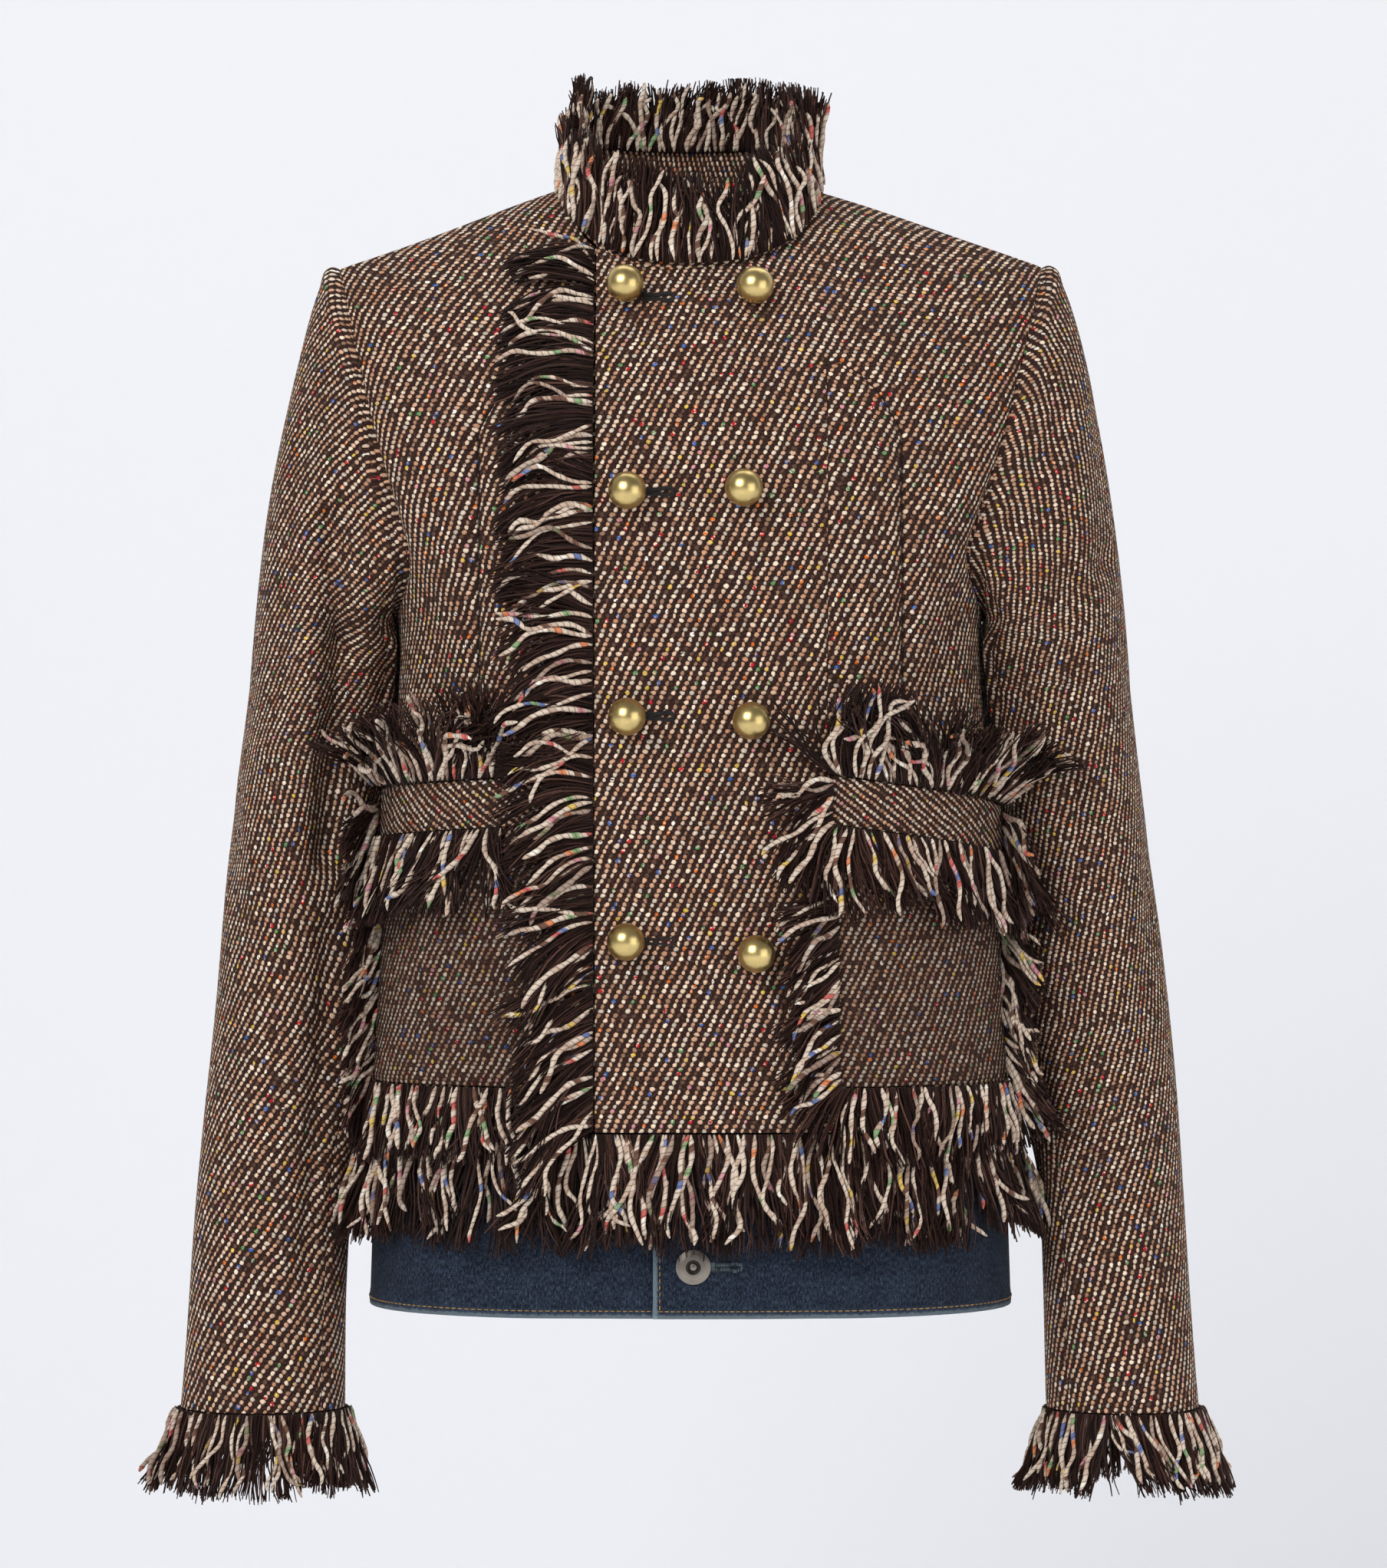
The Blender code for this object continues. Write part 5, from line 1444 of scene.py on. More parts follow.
def tweed_finish(settings, name, shade):
    """Bouclé nubs in slanted wales over a dark ground, with painted shade at the nubs' rims and
    along seams; the UV map is in metres.
    """
    f = Finish(name)
    uv = f.measure()
    seam = f.mark("seam")
    wander = f.noise(uv, 55.0, 1.0)
    flutter = f.noise(uv, 260.0, 1.0)
    parts = f.split(uv)
    drift = f.split(wander.out(1))
    shiver = f.split(flutter.out(1))
    inside = seam < 0.0
    across = (parts + (drift - 0.5) * 0.0030 + (shiver - 0.5) * 0.0016 + inside * 0.0021)
    up = (parts.out(1) + (drift.out(1) - 0.5) * 0.0024 + (shiver.out(1) - 0.5) * 0.0010
          + inside * 0.0012)
    row_up = up / settings.row
    row = row_up.math("FLOOR")
    slanted = across / settings.wale - row * (settings.shift / settings.wale)
    cell = slanted.math("FLOOR")
    chance = f.chance(cell, row, 0.5)
    draws = f.split(chance.out(1))
    in_row = row_up.math("FRACT") - 0.5
    in_cell = slanted.math("FRACT") - 0.5 - in_row * 0.06 + (draws - 0.5) * 0.10
    wide = 0.232 + (draws.out(1) - 0.5) * 0.10
    ragged = f.noise(uv, 1300.0, 2.0, 0.6)
    reach = ((in_cell / wide).math("POWER", 2.0)
             + (in_row / 0.48).math("POWER", 2.0) + (ragged - 0.5) * 1.5)
    nub = f.smooth(reach, 1.35, 0.80)
    fibre = f.noise(f.point(parts + parts.out(1) * 0.6, parts.out(1) * 0.45), 2600.0, 2.0)
    colour = f.ramp(chance, nub_stops(tuple(settings.cream), tuple(settings.beige)), "CONSTANT")
    other = f.chance(cell, row, 7.5)
    fleck = (other > 0.90) * f.smooth(f.noise(uv, 620.0, 1.0), 0.40, 0.50)
    colour = f.mix(fleck, colour, f.ramp(chance, FLECKS, "CONSTANT"))
    # tone: random per nub and along the fibre, lowered towards each nub's rim as painted shade of
    # its dome, and scaled by shade, which below 1 is painted shade over the whole cloth
    tone = (0.97 + draws.out(2) * 0.42 + (fibre - 0.5) * 0.95 - reach * 0.24) * shade
    colour = f.shade(colour, tone)
    dark = tuple(settings.ground)
    speck = f.noise(uv, 900.0, 2.0, 0.65)
    ground = f.ramp(speck, ((0.30, darker(dark, 0.45)), (0.52, dark),
                            (0.70, mixed(dark, linear("6b4c3c"), 0.45))))
    # painted shade in the seams' grooves: next to each sewn line the colour darkens towards the
    # ground's darkest tone and the bump sinks
    painted_seam_shade = f.smooth(seam.math("ABSOLUTE"), 0.0011, 0.0003)
    colour = f.mix(nub, ground, colour)
    # the painted seam shade, mixed over the cloth's colour
    colour = f.mix(painted_seam_shade * 0.85, colour, darker(dark, 0.6))
    dome = nub * (1.15 - reach * 0.5)
    height = dome + (fibre - 0.5) * 0.18 + speck * 0.25 - painted_seam_shade * 0.5
    f.set(Base_Color=colour, Roughness=0.92, Sheen_Weight=0.03, Sheen_Roughness=0.5,
          Specular_IOR_Level=0.08, Normal=f.bump(height, 0.0009, 1.0))
    return f.material


def wool_finish(settings):
    """Fine dark wool of the fringes; each strand has its own tone."""
    f = Finish("dark fringe wool")
    tone = f.mark("yarn")
    uv = f.measure()
    fuzz = f.noise(f.place(), 1400.0)
    dark = tuple(settings.strand_colour)
    colour = f.ramp(tone * 0.8 + fuzz * 0.3, (
        (0.15, darker(dark, 0.45)), (0.55, dark),
        (0.85, mixed(dark, linear("583c35"), 0.5)), (1.0, linear("64463c"))))
    along = f.split(uv).out(1)
    ply = (along * 5200.0).math("SINE") * 0.5 + fuzz
    f.set(Base_Color=colour, Roughness=0.85, Sheen_Weight=0.03, Sheen_Roughness=0.5,
          Specular_IOR_Level=0.12, Normal=f.bump(ply, 0.00012, 0.6))
    return f.material


def twist_finish(settings):
    """Pale twisted yarns of the fringes, with painted shade in their ply grooves and bright flecks.
    """
    f = Finish("pale twisted yarn")
    uv = f.measure()
    own = f.mark("yarn")
    parts = f.split(uv)
    around, along = parts, parts.out(1)
    twist = (around + along / 0.0034).math("FRACT")
    groove = f.smooth((twist - 0.5).math("ABSOLUTE"), 0.36, 0.5)
    stretch = (along / 0.0040 + around + own * 37.0).math("FLOOR")
    whose = (own * 977.0).math("FLOOR")
    chance = f.chance(stretch, whose, 0.5)
    pale = tuple(settings.yarn_colour)
    stops = ((0.0, pale), (0.30, mixed(pale, linear("b08f7a"), 0.5)), (0.50, pale),
             (0.68, mixed(pale, linear("94705a"), 0.5)), (0.82, linear("6a4c3f")), (0.88, pale))
    colour = f.ramp(chance, stops, "CONSTANT")
    bright = f.chance(stretch, whose, 3.5)
    colour = f.mix((bright > 0.86) * 0.8, colour, f.ramp(chance, FLECKS, "CONSTANT"))
    own_dark = f.smooth(own, 0.80, 0.86)
    colour = f.mix(own_dark * 0.6, colour, linear("6a4c40"))
    fuzz = f.noise(f.place(), 1800.0)
    # painted shade in the ply grooves
    colour = f.mix(groove * 0.6, colour, linear("4a352c"))
    tone = 0.74 + fuzz * 0.60
    colour = f.shade(colour, tone)
    f.set(Base_Color=colour, Roughness=0.9, Sheen_Weight=0.05, Sheen_Roughness=0.5,
          Specular_IOR_Level=0.12, Normal=f.bump(fuzz * 0.6 - groove, 0.0004, 0.8))
    return f.material


def thread_finish(name, dark, light, roughness=0.6, specular=0.35):
    """Sewing thread, whose stitches run from the dark tone to the light one."""
    f = Finish(name)
    colour = f.ramp(f.mark("yarn"), ((0.0, dark), (1.0, light)))
    f.set(Base_Color=colour, Roughness=roughness, Specular_IOR_Level=specular,
          Sheen_Weight=0.1)
    return f.material


def denim_finish(settings):
    """Dark indigo twill, rubbed pale along its lower edge; the UV map is in metres."""
    f = Finish("indigo denim")
    uv = f.measure()
    parts = f.split(uv)
    shift = (f.noise(uv, 300.0, 2.0) - 0.5) * 0.5
    slanted = ((parts * 0.8 - parts.out(1)) / 0.0009 + shift).math("FRACT")
    twill = f.smooth((slanted - 0.5).math("ABSOLUTE"), 0.12, 0.42)
    slub = f.noise(f.point(parts, parts.out(1) * 0.45), 950.0, 3.0, 0.7)
    cast = f.noise(uv, 40.0, 3.0)
    indigo, weft = tuple(settings.indigo), tuple(settings.weft)
    worn = f.smooth(f.noise(uv, 95.0, 2.0), 0.35, 0.70)
    light = twill * (0.60 + worn * 0.20) + (slub - 0.5) * 2.9 + (cast - 0.5) * 0.22 - 0.24
    colour = f.mix(light, indigo, weft)
    rubbed = f.noise(uv, 420.0, 3.0, 0.65)
    near_hem = f.smooth(parts.out(1) + (rubbed - 0.5) * 0.0030, 0.0026, 0.0012)
    pucker = f.smooth((parts.out(1) - 0.0032).math("ABSOLUTE"), 0.0026, 0.0004)
    colour = f.mix(pucker * rubbed * 0.35, colour, weft)
    near_lap = f.smooth(parts + (rubbed - 0.5) * 0.0030, 0.0034, 0.0016)
    colour = f.mix(near_lap * 0.55, colour, linear("7f929c"))
    colour = f.mix(near_hem * 0.40, colour, linear("87959c"))
    height = twill * 0.6 + slub * 0.5
    f.set(Base_Color=colour, Roughness=0.85, Sheen_Weight=0.02, Specular_IOR_Level=0.12,
          Normal=f.bump(height, 0.00025, 0.8))
    return f.material


def metal_finish(name, colour, roughness, brushed):
    """Satin metal with fine uneven brushing."""
    f = Finish(name)
    place = f.place()
    grain = f.noise(place, brushed, 3.0, 0.6)
    tarnish = f.noise(place, 160.0, 2.0)
    tone = f.mix(f.smooth(tarnish, 0.35, 0.75) * 0.35, colour, darker(colour, 0.45))
    f.set(Base_Color=tone, Metallic=1.0, Roughness=grain * 0.10 + (roughness - 0.05),
          Normal=f.bump(grain, 0.00004, 0.5))
    return f.material


def paper_finish(settings, name):
    """Pale paper that is clear from behind, so that the back can be looked at too."""
    f = Finish("pale paper of the " + name)
    f.set(Base_Color=(*settings.paper, 1.0), Roughness=0.95)
    behind = f.node("ShaderNodeNewGeometry", output="Backfacing")
    clear = f.node("ShaderNodeBsdfTransparent")
    either = f.node("ShaderNodeMixShader", None, {0: behind, 1: Wire(f, f.shader), 2: clear})
    f.feed(f.tree.nodes["Material Output"].inputs["Surface"], either)
    return f.material


# ---- buttons ----
def start_edit(made):
    """Edit the faces of the piece alone."""
    bpy.ops.object.select_all(action="DESELECT")
    made.select_set(True)
    bpy.context.view_layer.objects.active = made
    bpy.ops.object.mode_set(mode="EDIT")
    bpy.ops.mesh.select_mode(type="FACE")


def pick_faces(made, test):
    """Select the faces whose centre and normal pass the test, and no others."""
    bpy.ops.mesh.select_all(action="DESELECT")
    form = bmesh.from_edit_mesh(made.data)
    chosen = 0
    for face in form.faces:
        if test(face.calc_center_median(), face.normal):
            face.select_set(True)
            chosen += 1
    bmesh.update_edit_mesh(made.data)
    if not chosen:
        raise RuntimeError(made.name + ": no face to shape was found")


def push(distance):
    """Extrude the selected faces along Z."""
    bpy.ops.mesh.extrude_region_move(TRANSFORM_OT_translate={"value": (0.0, 0.0, distance)})


def model_ball_button(look):
    """Ball button on a collared shank, modelled upright about the origin.

    The shank is drawn out of the ball's flattened foot in three steps.
    """
    bpy.ops.object.select_all(action="DESELECT")
    bpy.ops.mesh.primitive_uv_sphere_add(segments=40, ring_count=24, radius=BALL_RADIUS,
                                         location=(0.0, 0.0, 0.0))
    made = bpy.context.object
    start_edit(made)
    foot = -BALL_RADIUS * math.cos(math.asin(SHANK_RADIUS / BALL_RADIUS))
    pick_faces(made, lambda centre, normal: centre.z < foot + 0.0004)
    bpy.ops.mesh.inset(thickness=0.0006, depth=0.0)
    push(-0.0007)
    bpy.ops.transform.resize(value=(0.80, 0.80, 0.0), center_override=(0.0, 0.0, foot - 0.0008))
    push(-0.0009)
    bpy.ops.transform.resize(value=(1.25, 1.25, 1.0), center_override=(0.0, 0.0, 0.0))
    push(-0.0005)
    bpy.ops.object.mode_set(mode="OBJECT")
    made.data.materials.append(look)
    bpy.ops.object.shade_smooth_by_angle(angle=math.radians(40.0))
    return made


def place_copy(model, name, point, normal, replaces):
    """Own copy of the model's mesh, turned to the normal, with its place in its mesh."""
    mesh = model.data.copy()
    mesh.name = name
    turned = Vector(normal).to_track_quat("Z", "Y").to_matrix().to_4x4()
    mesh.transform(turned)
    mesh.transform(Matrix.Translation(Vector(point)))
    made = bpy.data.objects.new(name, mesh)
    bpy.context.scene.collection.objects.link(made)
    return settle(made, replaces)


def at(function, *values):
    """One point of a surface function."""
    return function(*(np.array([float(v)]) for v in values))[0]


def ball_buttons(look):
    """A copy of one model for each row and column."""
    model = model_ball_button(look)
    for number, row in enumerate(BUTTON_ROWS, start=1):
        for kind, x, z in (("hole", row.hole_x, row.z), ("show", row.show_x, row.show_z)):
            turn = float(turn_at_x(np.array(x), np.array(z)))
            lift = GAP + BALL_RADIUS + SHANK_LENGTH
            name = f"button_{kind}_row_{number}"
            place_copy(model, name + "_ball", at(body_point, turn, z, lift),
                       at(body_normal, turn, z), (name,))
    bpy.data.objects.remove(model)


def stitches(name, starts, ends, lifts, look, seed, arch, sides=5):
    """Short rounded stitches from starts to ends, arched off the cloth, in one mesh."""
    random = np.random.default_rng(seed)
    t = np.array((0.0, 0.12, 0.35, 0.65, 0.88, 1.0))
    paths = starts[:, None] * (1.0 - t)[None, :, None] + ends[:, None] * t[None, :, None]
    paths = paths + lifts[:, None] * (arch * np.sin(math.pi * t))[None, :, None]
    shape = np.array((0.25, 0.8, 1.0, 1.0, 0.8, 0.25))
    radii = THREAD * 0.5 * shape * random.uniform(0.85, 1.15, (len(starts), 1))
    points, faces, uv = tubes(paths, radii, sides, lifts)
    mark = np.repeat(random.uniform(0.0, 1.0, len(starts)), len(t) * sides)
    return add_piece(name, points, faces, look, uv, {"yarn": mark})


def buttonhole(name, place, x_inner, x_outer, z, look, seed):
    """Worked keyhole buttonhole: thread bars round a slot with a rounded outer end."""
    half, pitch = 0.0022, 0.00042
    x = np.linspace(x_inner, x_outer, int((x_outer - x_inner) / pitch))
    swell = 0.0009 * np.exp(-((x - x_outer + 0.0022) / 0.0018) ** 2)
    lines = [(x, z + way * (0.00005 + swell), x, z + way * (half + swell)) for way in (-1.0, 1.0)]
    angle = np.linspace(-0.5 * math.pi, 0.5 * math.pi, 15)[1:-1]
    near, far = 0.0006, 0.0029
    lines.append((x_outer + near * np.cos(angle), z + near * np.sin(angle),
                  x_outer + far * 0.75 * np.cos(angle), z + far * np.sin(angle)))
    rows = np.linspace(-half, half, 9)
    lines.append((0.0 * rows + x_inner - 0.0012, z + rows, 0.0 * rows + x_inner + 0.0016,
                  z + rows))
    from_x, from_z, to_x, to_z = (np.concatenate(part) for part in zip(*lines))
    starts, lifts = place(from_x, from_z)
    ends, _ = place(to_x, to_z)
    return stitches(name, starts, ends, lifts, look, seed, 0.0005, 4)


def on_lap(x, z):
    """Points and face directions on the upper front."""
    turn = turn_at_x(x, z)
    return body_point(turn, z, 0.0 * x + 0.0003), body_normal(turn, z)


# ---- denim band ----
def band_ends(z):
    return turn_at_x(BAND_LAP_X, z), 2.0 * math.pi + turn_at_x(BAND_UNDER_X, z)


def band_skin(share, z, lift=0.0):
    """Outer face of the band, from its lap edge (0) round to its under end (1)."""
    turn = between(*band_ends(z), share)
    x = body_skin(turn, z)[..., 0]
    front = np.cos(turn) > 0.0
    inside = TWEED + LAY + BAND_EASE
    inside = inside + LAP_DROP * smoothstep(LAP_FADE, x) * (1.0 - smoothstep(BAND_FADE, x)) * front
    inside = inside + (DENIM + LAY) * smoothstep(BAND_TUCK, share)
    return body_point(turn, z, lift - inside)


def denim_band(look):
    """Band of denim, whose hem is puckered into a rope."""
    u, v = unit_grid(*BAND_CELLS)
    z = between(BAND_TOP_Z, BAND_BOTTOM_Z, v)
    points = band_skin(u, z)
    outward = points - vec(0.0 * z, RIDGE_Y, z)
    ridge = np.exp(-((z - BAND_BOTTOM_Z - ROPE_Z) / 0.0030) ** 2)
    slant = 40.0 * z
    rope = ROPE_DEPTH * ridge * np.sin(u * BAND_LENGTH / ROPE_PITCH * 2.0 * math.pi + slant)
    points = points + grid_normals(points, outward) * rope[..., None]
    uv = np.stack((u * BAND_LENGTH, z - BAND_BOTTOM_Z), -1)
    return shell("denim_cloth", points, outward, uv, look, ("denim_band",), None, DENIM)


def band_stitches(look):
    """Two rows of topstitching: along the lower edge, and down the lap edge."""
    lift = 0.0002
    half = 0.5 * STITCH_REACH * STITCH_PITCH
    count = int(BAND_LENGTH * STITCHED_SHARE / STITCH_PITCH)
    middle = (np.arange(count) + 0.5) / count * STITCHED_SHARE + 0.003
    z = np.full(count, BAND_BOTTOM_Z + LOW_ROW)
    up = np.arange(BAND_BOTTOM_Z + 0.0056, BAND_TOP_Z - 0.004, STITCH_PITCH)
    share = np.full(len(up), LAP_ROW)
    starts, ends = (np.concatenate((band_skin(middle + way * half / BAND_LENGTH, z, lift),
                                    band_skin(share, up + way * half, lift)))
                    for way in (-1.0, 1.0))
    lifts = unit(vec(starts[:, 0] * 0.62, starts[:, 1] - RIDGE_Y, 0.0 * starts[:, 2]))
    return stitches("denim_topstitch", starts, ends, lifts, look, 91, 0.0003)


def on_band(x, z):
    """Points and face directions on the band's front."""
    turn, (start, end) = turn_at_x(x, z), band_ends(z)
    return band_skin((turn - start) / (end - start), z, 0.0003), body_normal(turn, z)


def denim_button(look, dark):
    """Cast jeans button: a raised ring round a plain sunk middle."""
    r = DENIM_BUTTON_RADIUS
    bpy.ops.object.select_all(action="DESELECT")
    bpy.ops.mesh.primitive_cylinder_add(vertices=48, radius=r, depth=0.0016,
                                        location=(0.0, 0.0, 0.0008))
    made = bpy.context.object
    start_edit(made)
    pick_faces(made, lambda centre, normal: normal.z > 0.9)
    for ring in BUTTON_RINGS:
        bpy.ops.mesh.inset(thickness=ring.width, depth=0.0)
        if ring.rise:
            push(ring.rise)
    made.data.materials.append(look)
    made.data.materials.append(dark)
    low, high = DARK_RING
    pick_faces(made, lambda centre, normal: low < math.hypot(centre.x, centre.y) < high)
    made.active_material_index = 1
    bpy.ops.object.material_slot_assign()
    bpy.ops.object.mode_set(mode="OBJECT")
    bevel = made.modifiers.new("soft edges", "BEVEL")
    bevel.width, bevel.segments, bevel.limit_method = 0.00022, 2, "ANGLE"
    bpy.ops.object.modifier_apply(modifier=bevel.name)
    bpy.ops.object.shade_smooth_by_angle(angle=math.radians(35.0))
    x, z = np.array([DENIM_BUTTON_X]), np.array([DENIM_BUTTON_Z])
    point, normal = on_band(x, z)
    place_copy(made, "denim_button_cap", point[0] + normal[0] * 0.0003, normal[0],
               ("denim_button",))
    bpy.data.objects.remove(made)


def declare(made):
    """Read the area of each face of a piece; nothing is kept of them."""
    faces = made.data.polygons
    areas = np.empty(len(faces))
    faces.foreach_get("area", areas)


# ---- settings a user would change ----
def size(name, description, default):
    return bpy.props.FloatProperty(name=name, description=description, default=default,
                                   unit="LENGTH", precision=5)


def colour(name, description, default):
    return bpy.props.FloatVectorProperty(name=name, description=description, default=default,
                                         subtype="COLOR", size=3, min=0.0, max=1.0)


class JacketTweed(bpy.types.PropertyGroup):
    """Weave of the cloth."""

    wale: size("Wale", "Width of one slanted wale, measured level", 0.00460)
    row: size("Row", "Height of one row of nubs", 0.00242)
    shift: size("Shift", "Sideways step from one row to the next", 0.00119)
    cream: colour("Cream", "Palest nubs", linear("e2ccb4"))
    beige: colour("Beige", "Most other nubs", linear("c2977a"))
    ground: colour("Ground", "Dark yarn between the nubs", linear("301f1b"))


class JacketFringe(bpy.types.PropertyGroup):
    """Yarns of the fringes."""

    strand_spacing: size("Strand spacing", "Distance between fine dark strands", 0.00027)
    strand_thickness: size("Strand thickness", "Width of a fine strand", 0.00125)
    yarn_spacing: size("Yarn spacing", "Distance between pale yarns", 0.0045)
    yarn_thickness: size("Yarn thickness", "Width of a pale yarn", 0.0024)
    strand_colour: colour("Strand colour", "Fine dark wool", linear("26150f"))
    yarn_colour: colour("Yarn colour", "Pale twisted yarn", linear("cebcaa"))


class JacketMetal(bpy.types.PropertyGroup):
    """Finish of the buttons."""

    brass: colour("Brass", "Satin brass of the ball buttons", (0.74, 0.565, 0.235))
    pewter: colour("Pewter", "Cast metal of the jeans button", (0.31, 0.275, 0.235))


class JacketDenim(bpy.types.PropertyGroup):
    """Cloth of the inner hem band."""

    indigo: colour("Indigo", "Dark warp of the denim", linear("0f1521"))
    weft: colour("Weft", "Paler weft of the denim", linear("4b5a6e"))
    thread_colour: colour("Thread", "Ochre topstitching", linear("a97f3d"))


class JacketStage(bpy.types.PropertyGroup):
    """Floor, backdrop and light."""

    paper: colour("Paper", "Floor and backdrop", linear("f0f1f4"))
    key_power: bpy.props.FloatProperty(name="Key light", description="Power of the key light",
                                       default=48.5, unit="POWER")
    fill_power: bpy.props.FloatProperty(name="Fill light", description="Power of the fill light",
                                        default=22.0, unit="POWER")


GROUPS = {"jacket_tweed": JacketTweed, "jacket_fringe": JacketFringe,
          "jacket_metal": JacketMetal, "jacket_denim": JacketDenim, "jacket_stage": JacketStage}


def finish_of(name, make):
    """The material of that name, made on first use."""
    return bpy.data.materials.get(name) or make()


# shade multiplies the cloth's tone: below 1 it makes a copy of the tweed in painted shade
def tweed_look(scene, name="bouclé tweed", shade=1.0):
    return finish_of(name, lambda: tweed_finish(scene.jacket_tweed, name, shade))


def fringe_looks(scene):
    settings = scene.jacket_fringe
    return (finish_of("dark fringe wool", lambda: wool_finish(settings)),
            finish_of("pale twisted yarn", lambda: twist_finish(settings)))


# ---- operators ----
class JACKET_OT_body(bpy.types.Operator):
    """Fronts and back, with the fringes of the hem and the lap edge"""

    bl_idname = "jacket.body"
    bl_label = "Fronts and Back"

    def execute(self, context):
        look, yarns = tweed_look(context.scene), fringe_looks(context.scene)
        hem = fringe("fringe_hem", hem_edge, Form(0.0562, 0.06, 0.02, 0.13), yarns, 11,
                     hem_spread, pale_gap=0.9)
        lap = fringe("fringe_front_edge", lap_edge, Form(0.0480, 0.14, 0.42, 0.14), yarns, 12,
                     lap_lean, lap_rise, pale_gap=1.3)
        left = front_panel(1, LAP_EDGE_X, LEFT_COLS, look)
        right = front_panel(-1, UNDER_EDGE_X, RIGHT_COLS, look)
        back = back_panel(look)
        declare(left)
        declare(right)
        declare(back)
        return {"FINISHED"}


class JACKET_OT_sleeves(bpy.types.Operator):
    """Two-piece sleeves with fringed cuffs"""

    bl_idname = "jacket.sleeves"
    bl_label = "Sleeves"

    def execute(self, context):
        look, yarns = tweed_look(context.scene), fringe_looks(context.scene)
        for side, seed in ((1, 21), (-1, 22)):
            upper, under = sleeve(side, look)
            cuff = fringe("fringe_cuff_" + side_label(side), cuff_edge(side),
                          Form(0.0425, 0.28, 0.03, 0.11), yarns, seed)
            declare(upper)
            declare(under)
        return {"FINISHED"}


class JACKET_OT_collar(bpy.types.Operator):
    """Collar stand and the fringe that stands up from it"""

    bl_idname = "jacket.collar"
    bl_label = "Collar"

    def execute(self, context):
        stand = collar_stand(tweed_look(context.scene))
        yarns = fringe_looks(context.scene)
        tall = fringe("fringe_collar", collar_edge, Form(0.0465, -0.07, 0.0, 0.11),
                      yarns, 31, pale_gap=0.85)
        tall += fringe("fringe_collar_inside", collar_inner_edge, Form(0.034, -0.08, 0.0, 0.18),
                       yarns, 32, node="fringe_collar", pale_gap=0.85)
        declare(stand)
        return {"FINISHED"}


class JACKET_OT_pockets(bpy.types.Operator):
    """Patch pockets and flaps with their fringes"""

    bl_idname = "jacket.pockets"
    bl_label = "Pockets and Flaps"

    def execute(self, context):
        # copies of the tweed in painted shade: the pockets, which the flaps shade, darkest, and the
        # flaps less so
        look = tweed_look(context.scene, "bouclé tweed of the pockets", 0.57)
        flap_look = tweed_look(context.scene, "bouclé tweed of the flaps", 0.86)
        yarns = fringe_looks(context.scene)
        for side in (1, -1):
            label, seed = side_label(side), 40 + side
            edge, lean = trim_edge(side, POCKET_TRIM[side])
            low = fringe("fringe_pocket_" + label, edge,
                         Form(0.038, 0.20, 0.20, 0.16), yarns, seed, lean)
            edge, lean = trim_edge(side, FLAP_TRIM[side])
            mid = fringe("fringe_flap_" + label, edge,
                         Form(0.045, 0.26, 0.20, 0.20), yarns, seed + 10, lean)

            def fan(q, side=side):
                return vec(side * (1.2 * q - 0.60), -0.45 * q, -0.05 * q)

            top = fringe("fringe_flap_top_" + label, flap_top_edge(side),
                         Form(0.048, 0.38, 0.14, 0.22), yarns, seed + 20, fan, pale_gap=0.8)
            patch_cloth, flap_cloth = pocket(side, look), flap(side, flap_look)
            declare(patch_cloth)
            declare(flap_cloth)
        return {"FINISHED"}


class JACKET_OT_ball_buttons(bpy.types.Operator):
    """Eight brass ball buttons in two columns"""

    bl_idname = "jacket.ball_buttons"
    bl_label = "Ball Buttons"

    def execute(self, context):
        ball_buttons(metal_finish("satin brass", tuple(context.scene.jacket_metal.brass),
                                  0.30, 900.0))
        return {"FINISHED"}


class JACKET_OT_buttonholes(bpy.types.Operator):
    """Worked buttonholes beside the outer column of buttons"""

    bl_idname = "jacket.buttonholes"
    bl_label = "Buttonholes"

    def execute(self, context):
        look = thread_finish("dark buttonhole thread", linear("0b0706"), linear("1f1613"))
        for number, row in enumerate(BUTTON_ROWS, start=1):
            buttonhole(f"buttonhole_{number}", on_lap, row.hole_x + 0.0080, HOLE_END_X, row.z,
                       look, 60 + number)
        return {"FINISHED"}


class JACKET_OT_denim_band(bpy.types.Operator):
    """Denim band inside the hem, with its topstitching and buttonhole"""

    bl_idname = "jacket.denim_band"
    bl_label = "Denim Band"

    def execute(self, context):
        settings = context.scene.jacket_denim
        band = denim_band(denim_finish(settings))
        ochre = tuple(settings.thread_colour)
        rows = band_stitches(thread_finish("ochre topstitch thread", darker(ochre, 0.35),
                                           ochre, 0.65, 0.30))
        dull = thread_finish("faded buttonhole thread", linear("0c1119"), linear("55666f"))
        hole = buttonhole("denim_buttonhole", on_band, DENIM_BUTTON_X + 0.0098, 0.0248,
                          DENIM_BUTTON_Z, dull, 75)
        declare(band)
        return {"FINISHED"}


class JACKET_OT_denim_button(bpy.types.Operator):
    """Plain cast jeans button on the denim band"""

    bl_idname = "jacket.denim_button"
    bl_label = "Jeans Button"

    def execute(self, context):
        pewter = tuple(context.scene.jacket_metal.pewter)
        denim_button(metal_finish("pewter", pewter, 0.30, 1500.0),
                     metal_finish("dark pewter", darker(pewter, 0.84), 0.40, 1500.0))
        return {"FINISHED"}


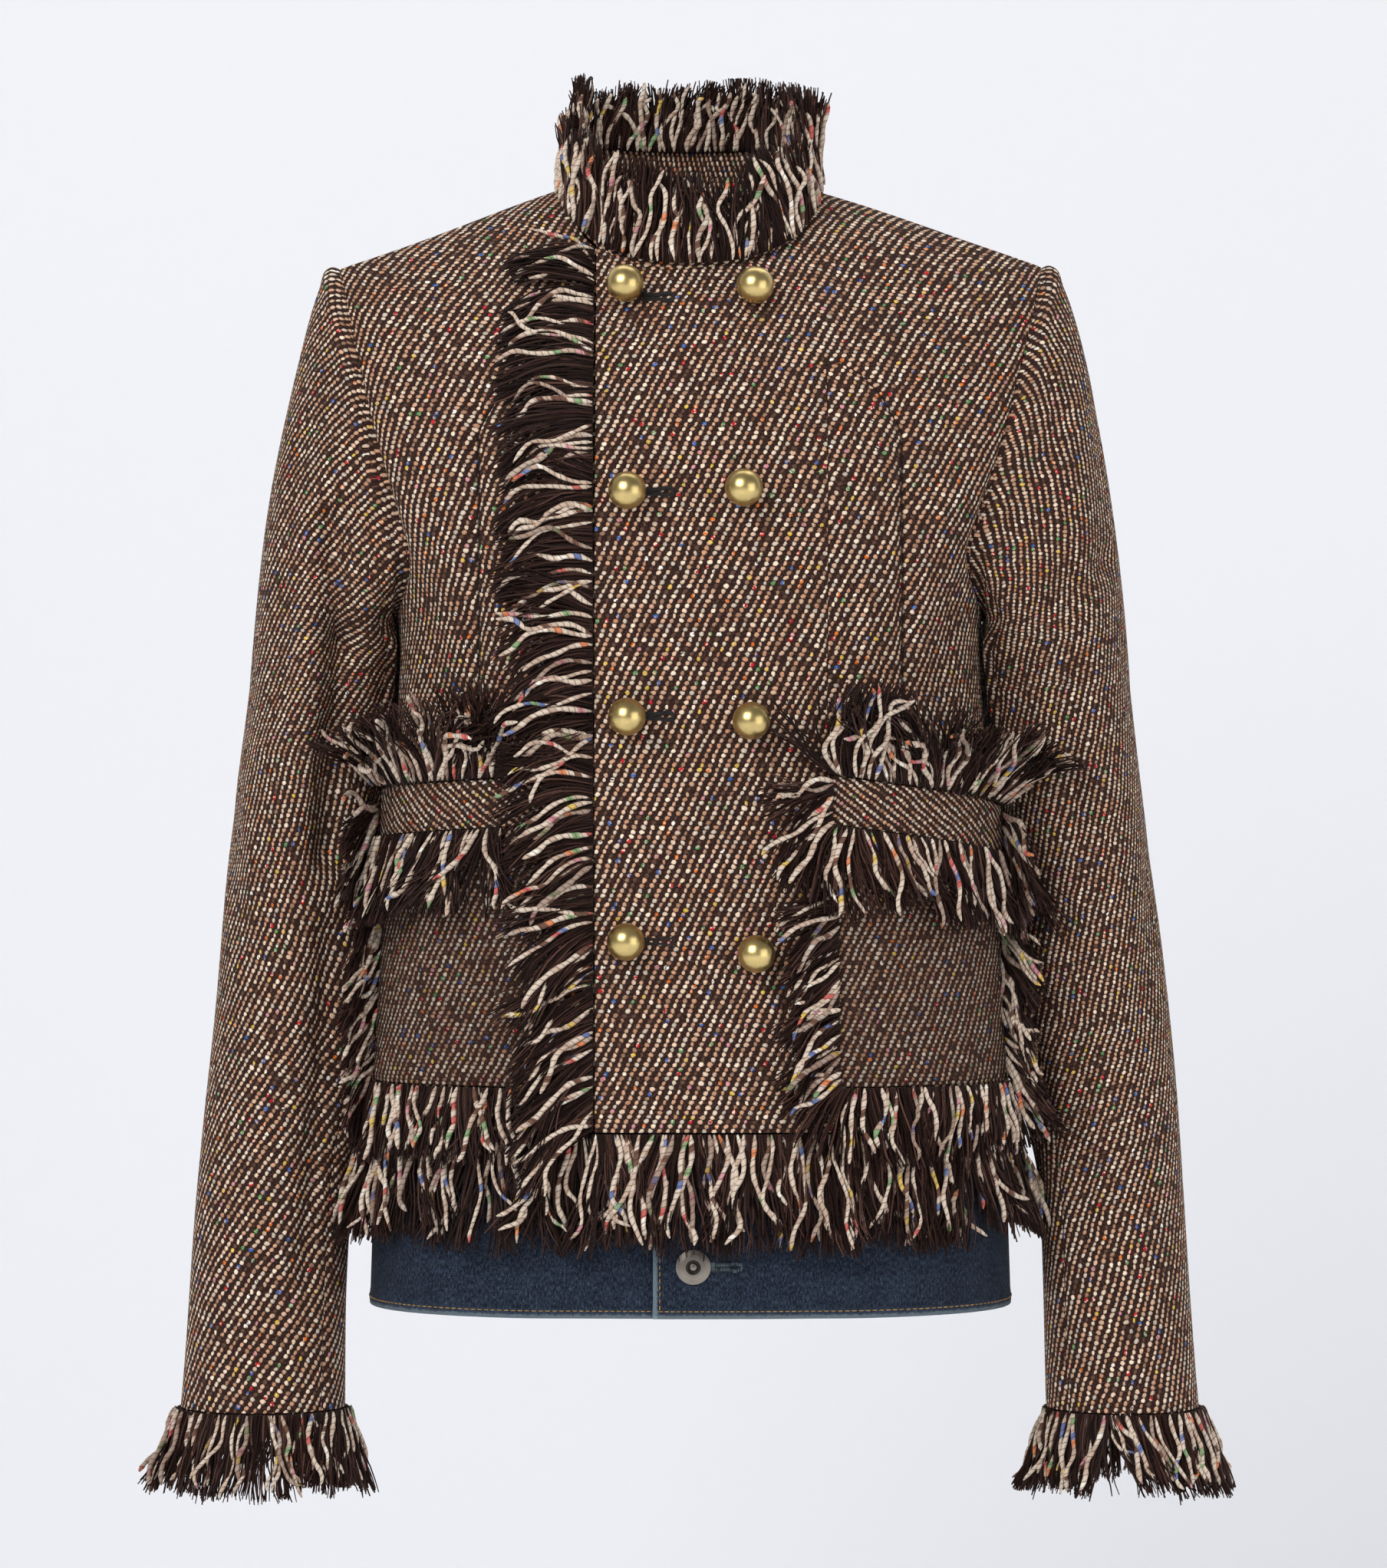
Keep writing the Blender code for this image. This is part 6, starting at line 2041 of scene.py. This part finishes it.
class JACKET_OT_stage(bpy.types.Operator):
    """Pale floor and backdrop, soft light and the camera"""

    bl_idname = "jacket.stage"
    bl_label = "Stage"

    def execute(self, context):
        settings = context.scene.jacket_stage
        for name, location, tilt in (("floor", (0.0, 0.0, FLOOR_Z), 0.0),
                                     ("backdrop", (0.0, BACKDROP_Y, 0.0), 0.5 * math.pi)):
            bpy.ops.mesh.primitive_plane_add(size=STAGE_SIZE, location=location,
                                             rotation=(tilt, 0.0, 0.0))
            made = context.object
            made.name = name
            made.data.materials.append(paper_finish(settings, name))
        self.lights(context, settings)
        self.camera(context)
        return {"FINISHED"}

    def lights(self, context, settings):
        """Three soft lights in an even pale world."""
        aim = Vector(LIGHT_AIM)
        for name, power, width, place in (
                ("key", settings.key_power, 1.6, (-1.20, -2.3, 1.05)),
                ("fill", settings.fill_power, 2.2, (2.1, -1.9, -0.25)),
                ("rear", settings.fill_power, 2.4, (0.3, 1.3, 1.9))):
            bpy.ops.object.light_add(type="AREA", location=place)
            light = context.object
            light.name = name
            light.data.energy, light.data.size = power, width
            light.rotation_euler = (aim - Vector(place)).to_track_quat("-Z", "Y").to_euler()
        world = bpy.data.worlds.new("studio")
        world.use_nodes = True
        back = world.node_tree.nodes["Background"]
        back.inputs["Color"].default_value = (*linear("f1f1f2"), 1.0)
        nodes, links = world.node_tree.nodes, world.node_tree.links
        ray, dim = nodes.new("ShaderNodeLightPath"), nodes.new("ShaderNodeMath")
        dim.operation = "MULTIPLY_ADD"
        dim.inputs[1].default_value = GLOSSY_WORLD
        dim.inputs[2].default_value = WORLD_STRENGTH
        links.new(ray.outputs["Is Glossy Ray"], dim.inputs[0])
        links.new(dim.outputs[0], back.inputs["Strength"])
        context.scene.world = world
        context.scene.view_settings.view_transform = "Standard"

    def camera(self, context):
        """Level camera at the front."""
        bpy.ops.object.camera_add(location=CAMERA_PLACE, rotation=(0.5 * math.pi, 0.0, 0.0))
        camera = context.object
        camera.data.lens = camera.data.sensor_width * -CAMERA_PLACE[1] / FRAME_HEIGHT
        camera.data.clip_start, camera.data.clip_end = 0.05, 60.0
        context.scene.camera = camera


OPERATORS = (JACKET_OT_body, JACKET_OT_sleeves, JACKET_OT_collar, JACKET_OT_pockets,
             JACKET_OT_ball_buttons, JACKET_OT_buttonholes, JACKET_OT_denim_band,
             JACKET_OT_denim_button, JACKET_OT_stage)


class JACKET_PT_pieces(bpy.types.Panel):
    """Lists the jacket's pieces and the stage"""

    bl_idname = "JACKET_PT_pieces"
    bl_label = "Cropped Tweed Jacket"
    bl_space_type = "VIEW_3D"
    bl_region_type = "UI"
    bl_category = "Jacket"

    def draw(self, context):
        for group in GROUPS:
            box = self.layout.box()
            settings = getattr(context.scene, group)
            for key in settings.__annotations__:
                box.prop(settings, key)
        for operator in OPERATORS:
            self.layout.operator(operator.bl_idname)


CLASSES = (*GROUPS.values(), *OPERATORS, JACKET_PT_pieces)


def register():
    for made in CLASSES:
        bpy.utils.register_class(made)
    for name, group in GROUPS.items():
        setattr(bpy.types.Scene, name, bpy.props.PointerProperty(type=group))


def unregister():
    for name in GROUPS:
        delattr(bpy.types.Scene, name)
    for made in reversed(CLASSES):
        bpy.utils.unregister_class(made)


def main():
    register()
    for operator in OPERATORS:
        group, name = operator.bl_idname.split(".")
        if getattr(getattr(bpy.ops, group), name)() != {"FINISHED"}:
            raise RuntimeError(operator.bl_label + " was not made")


if __name__ == "__main__":
    main()
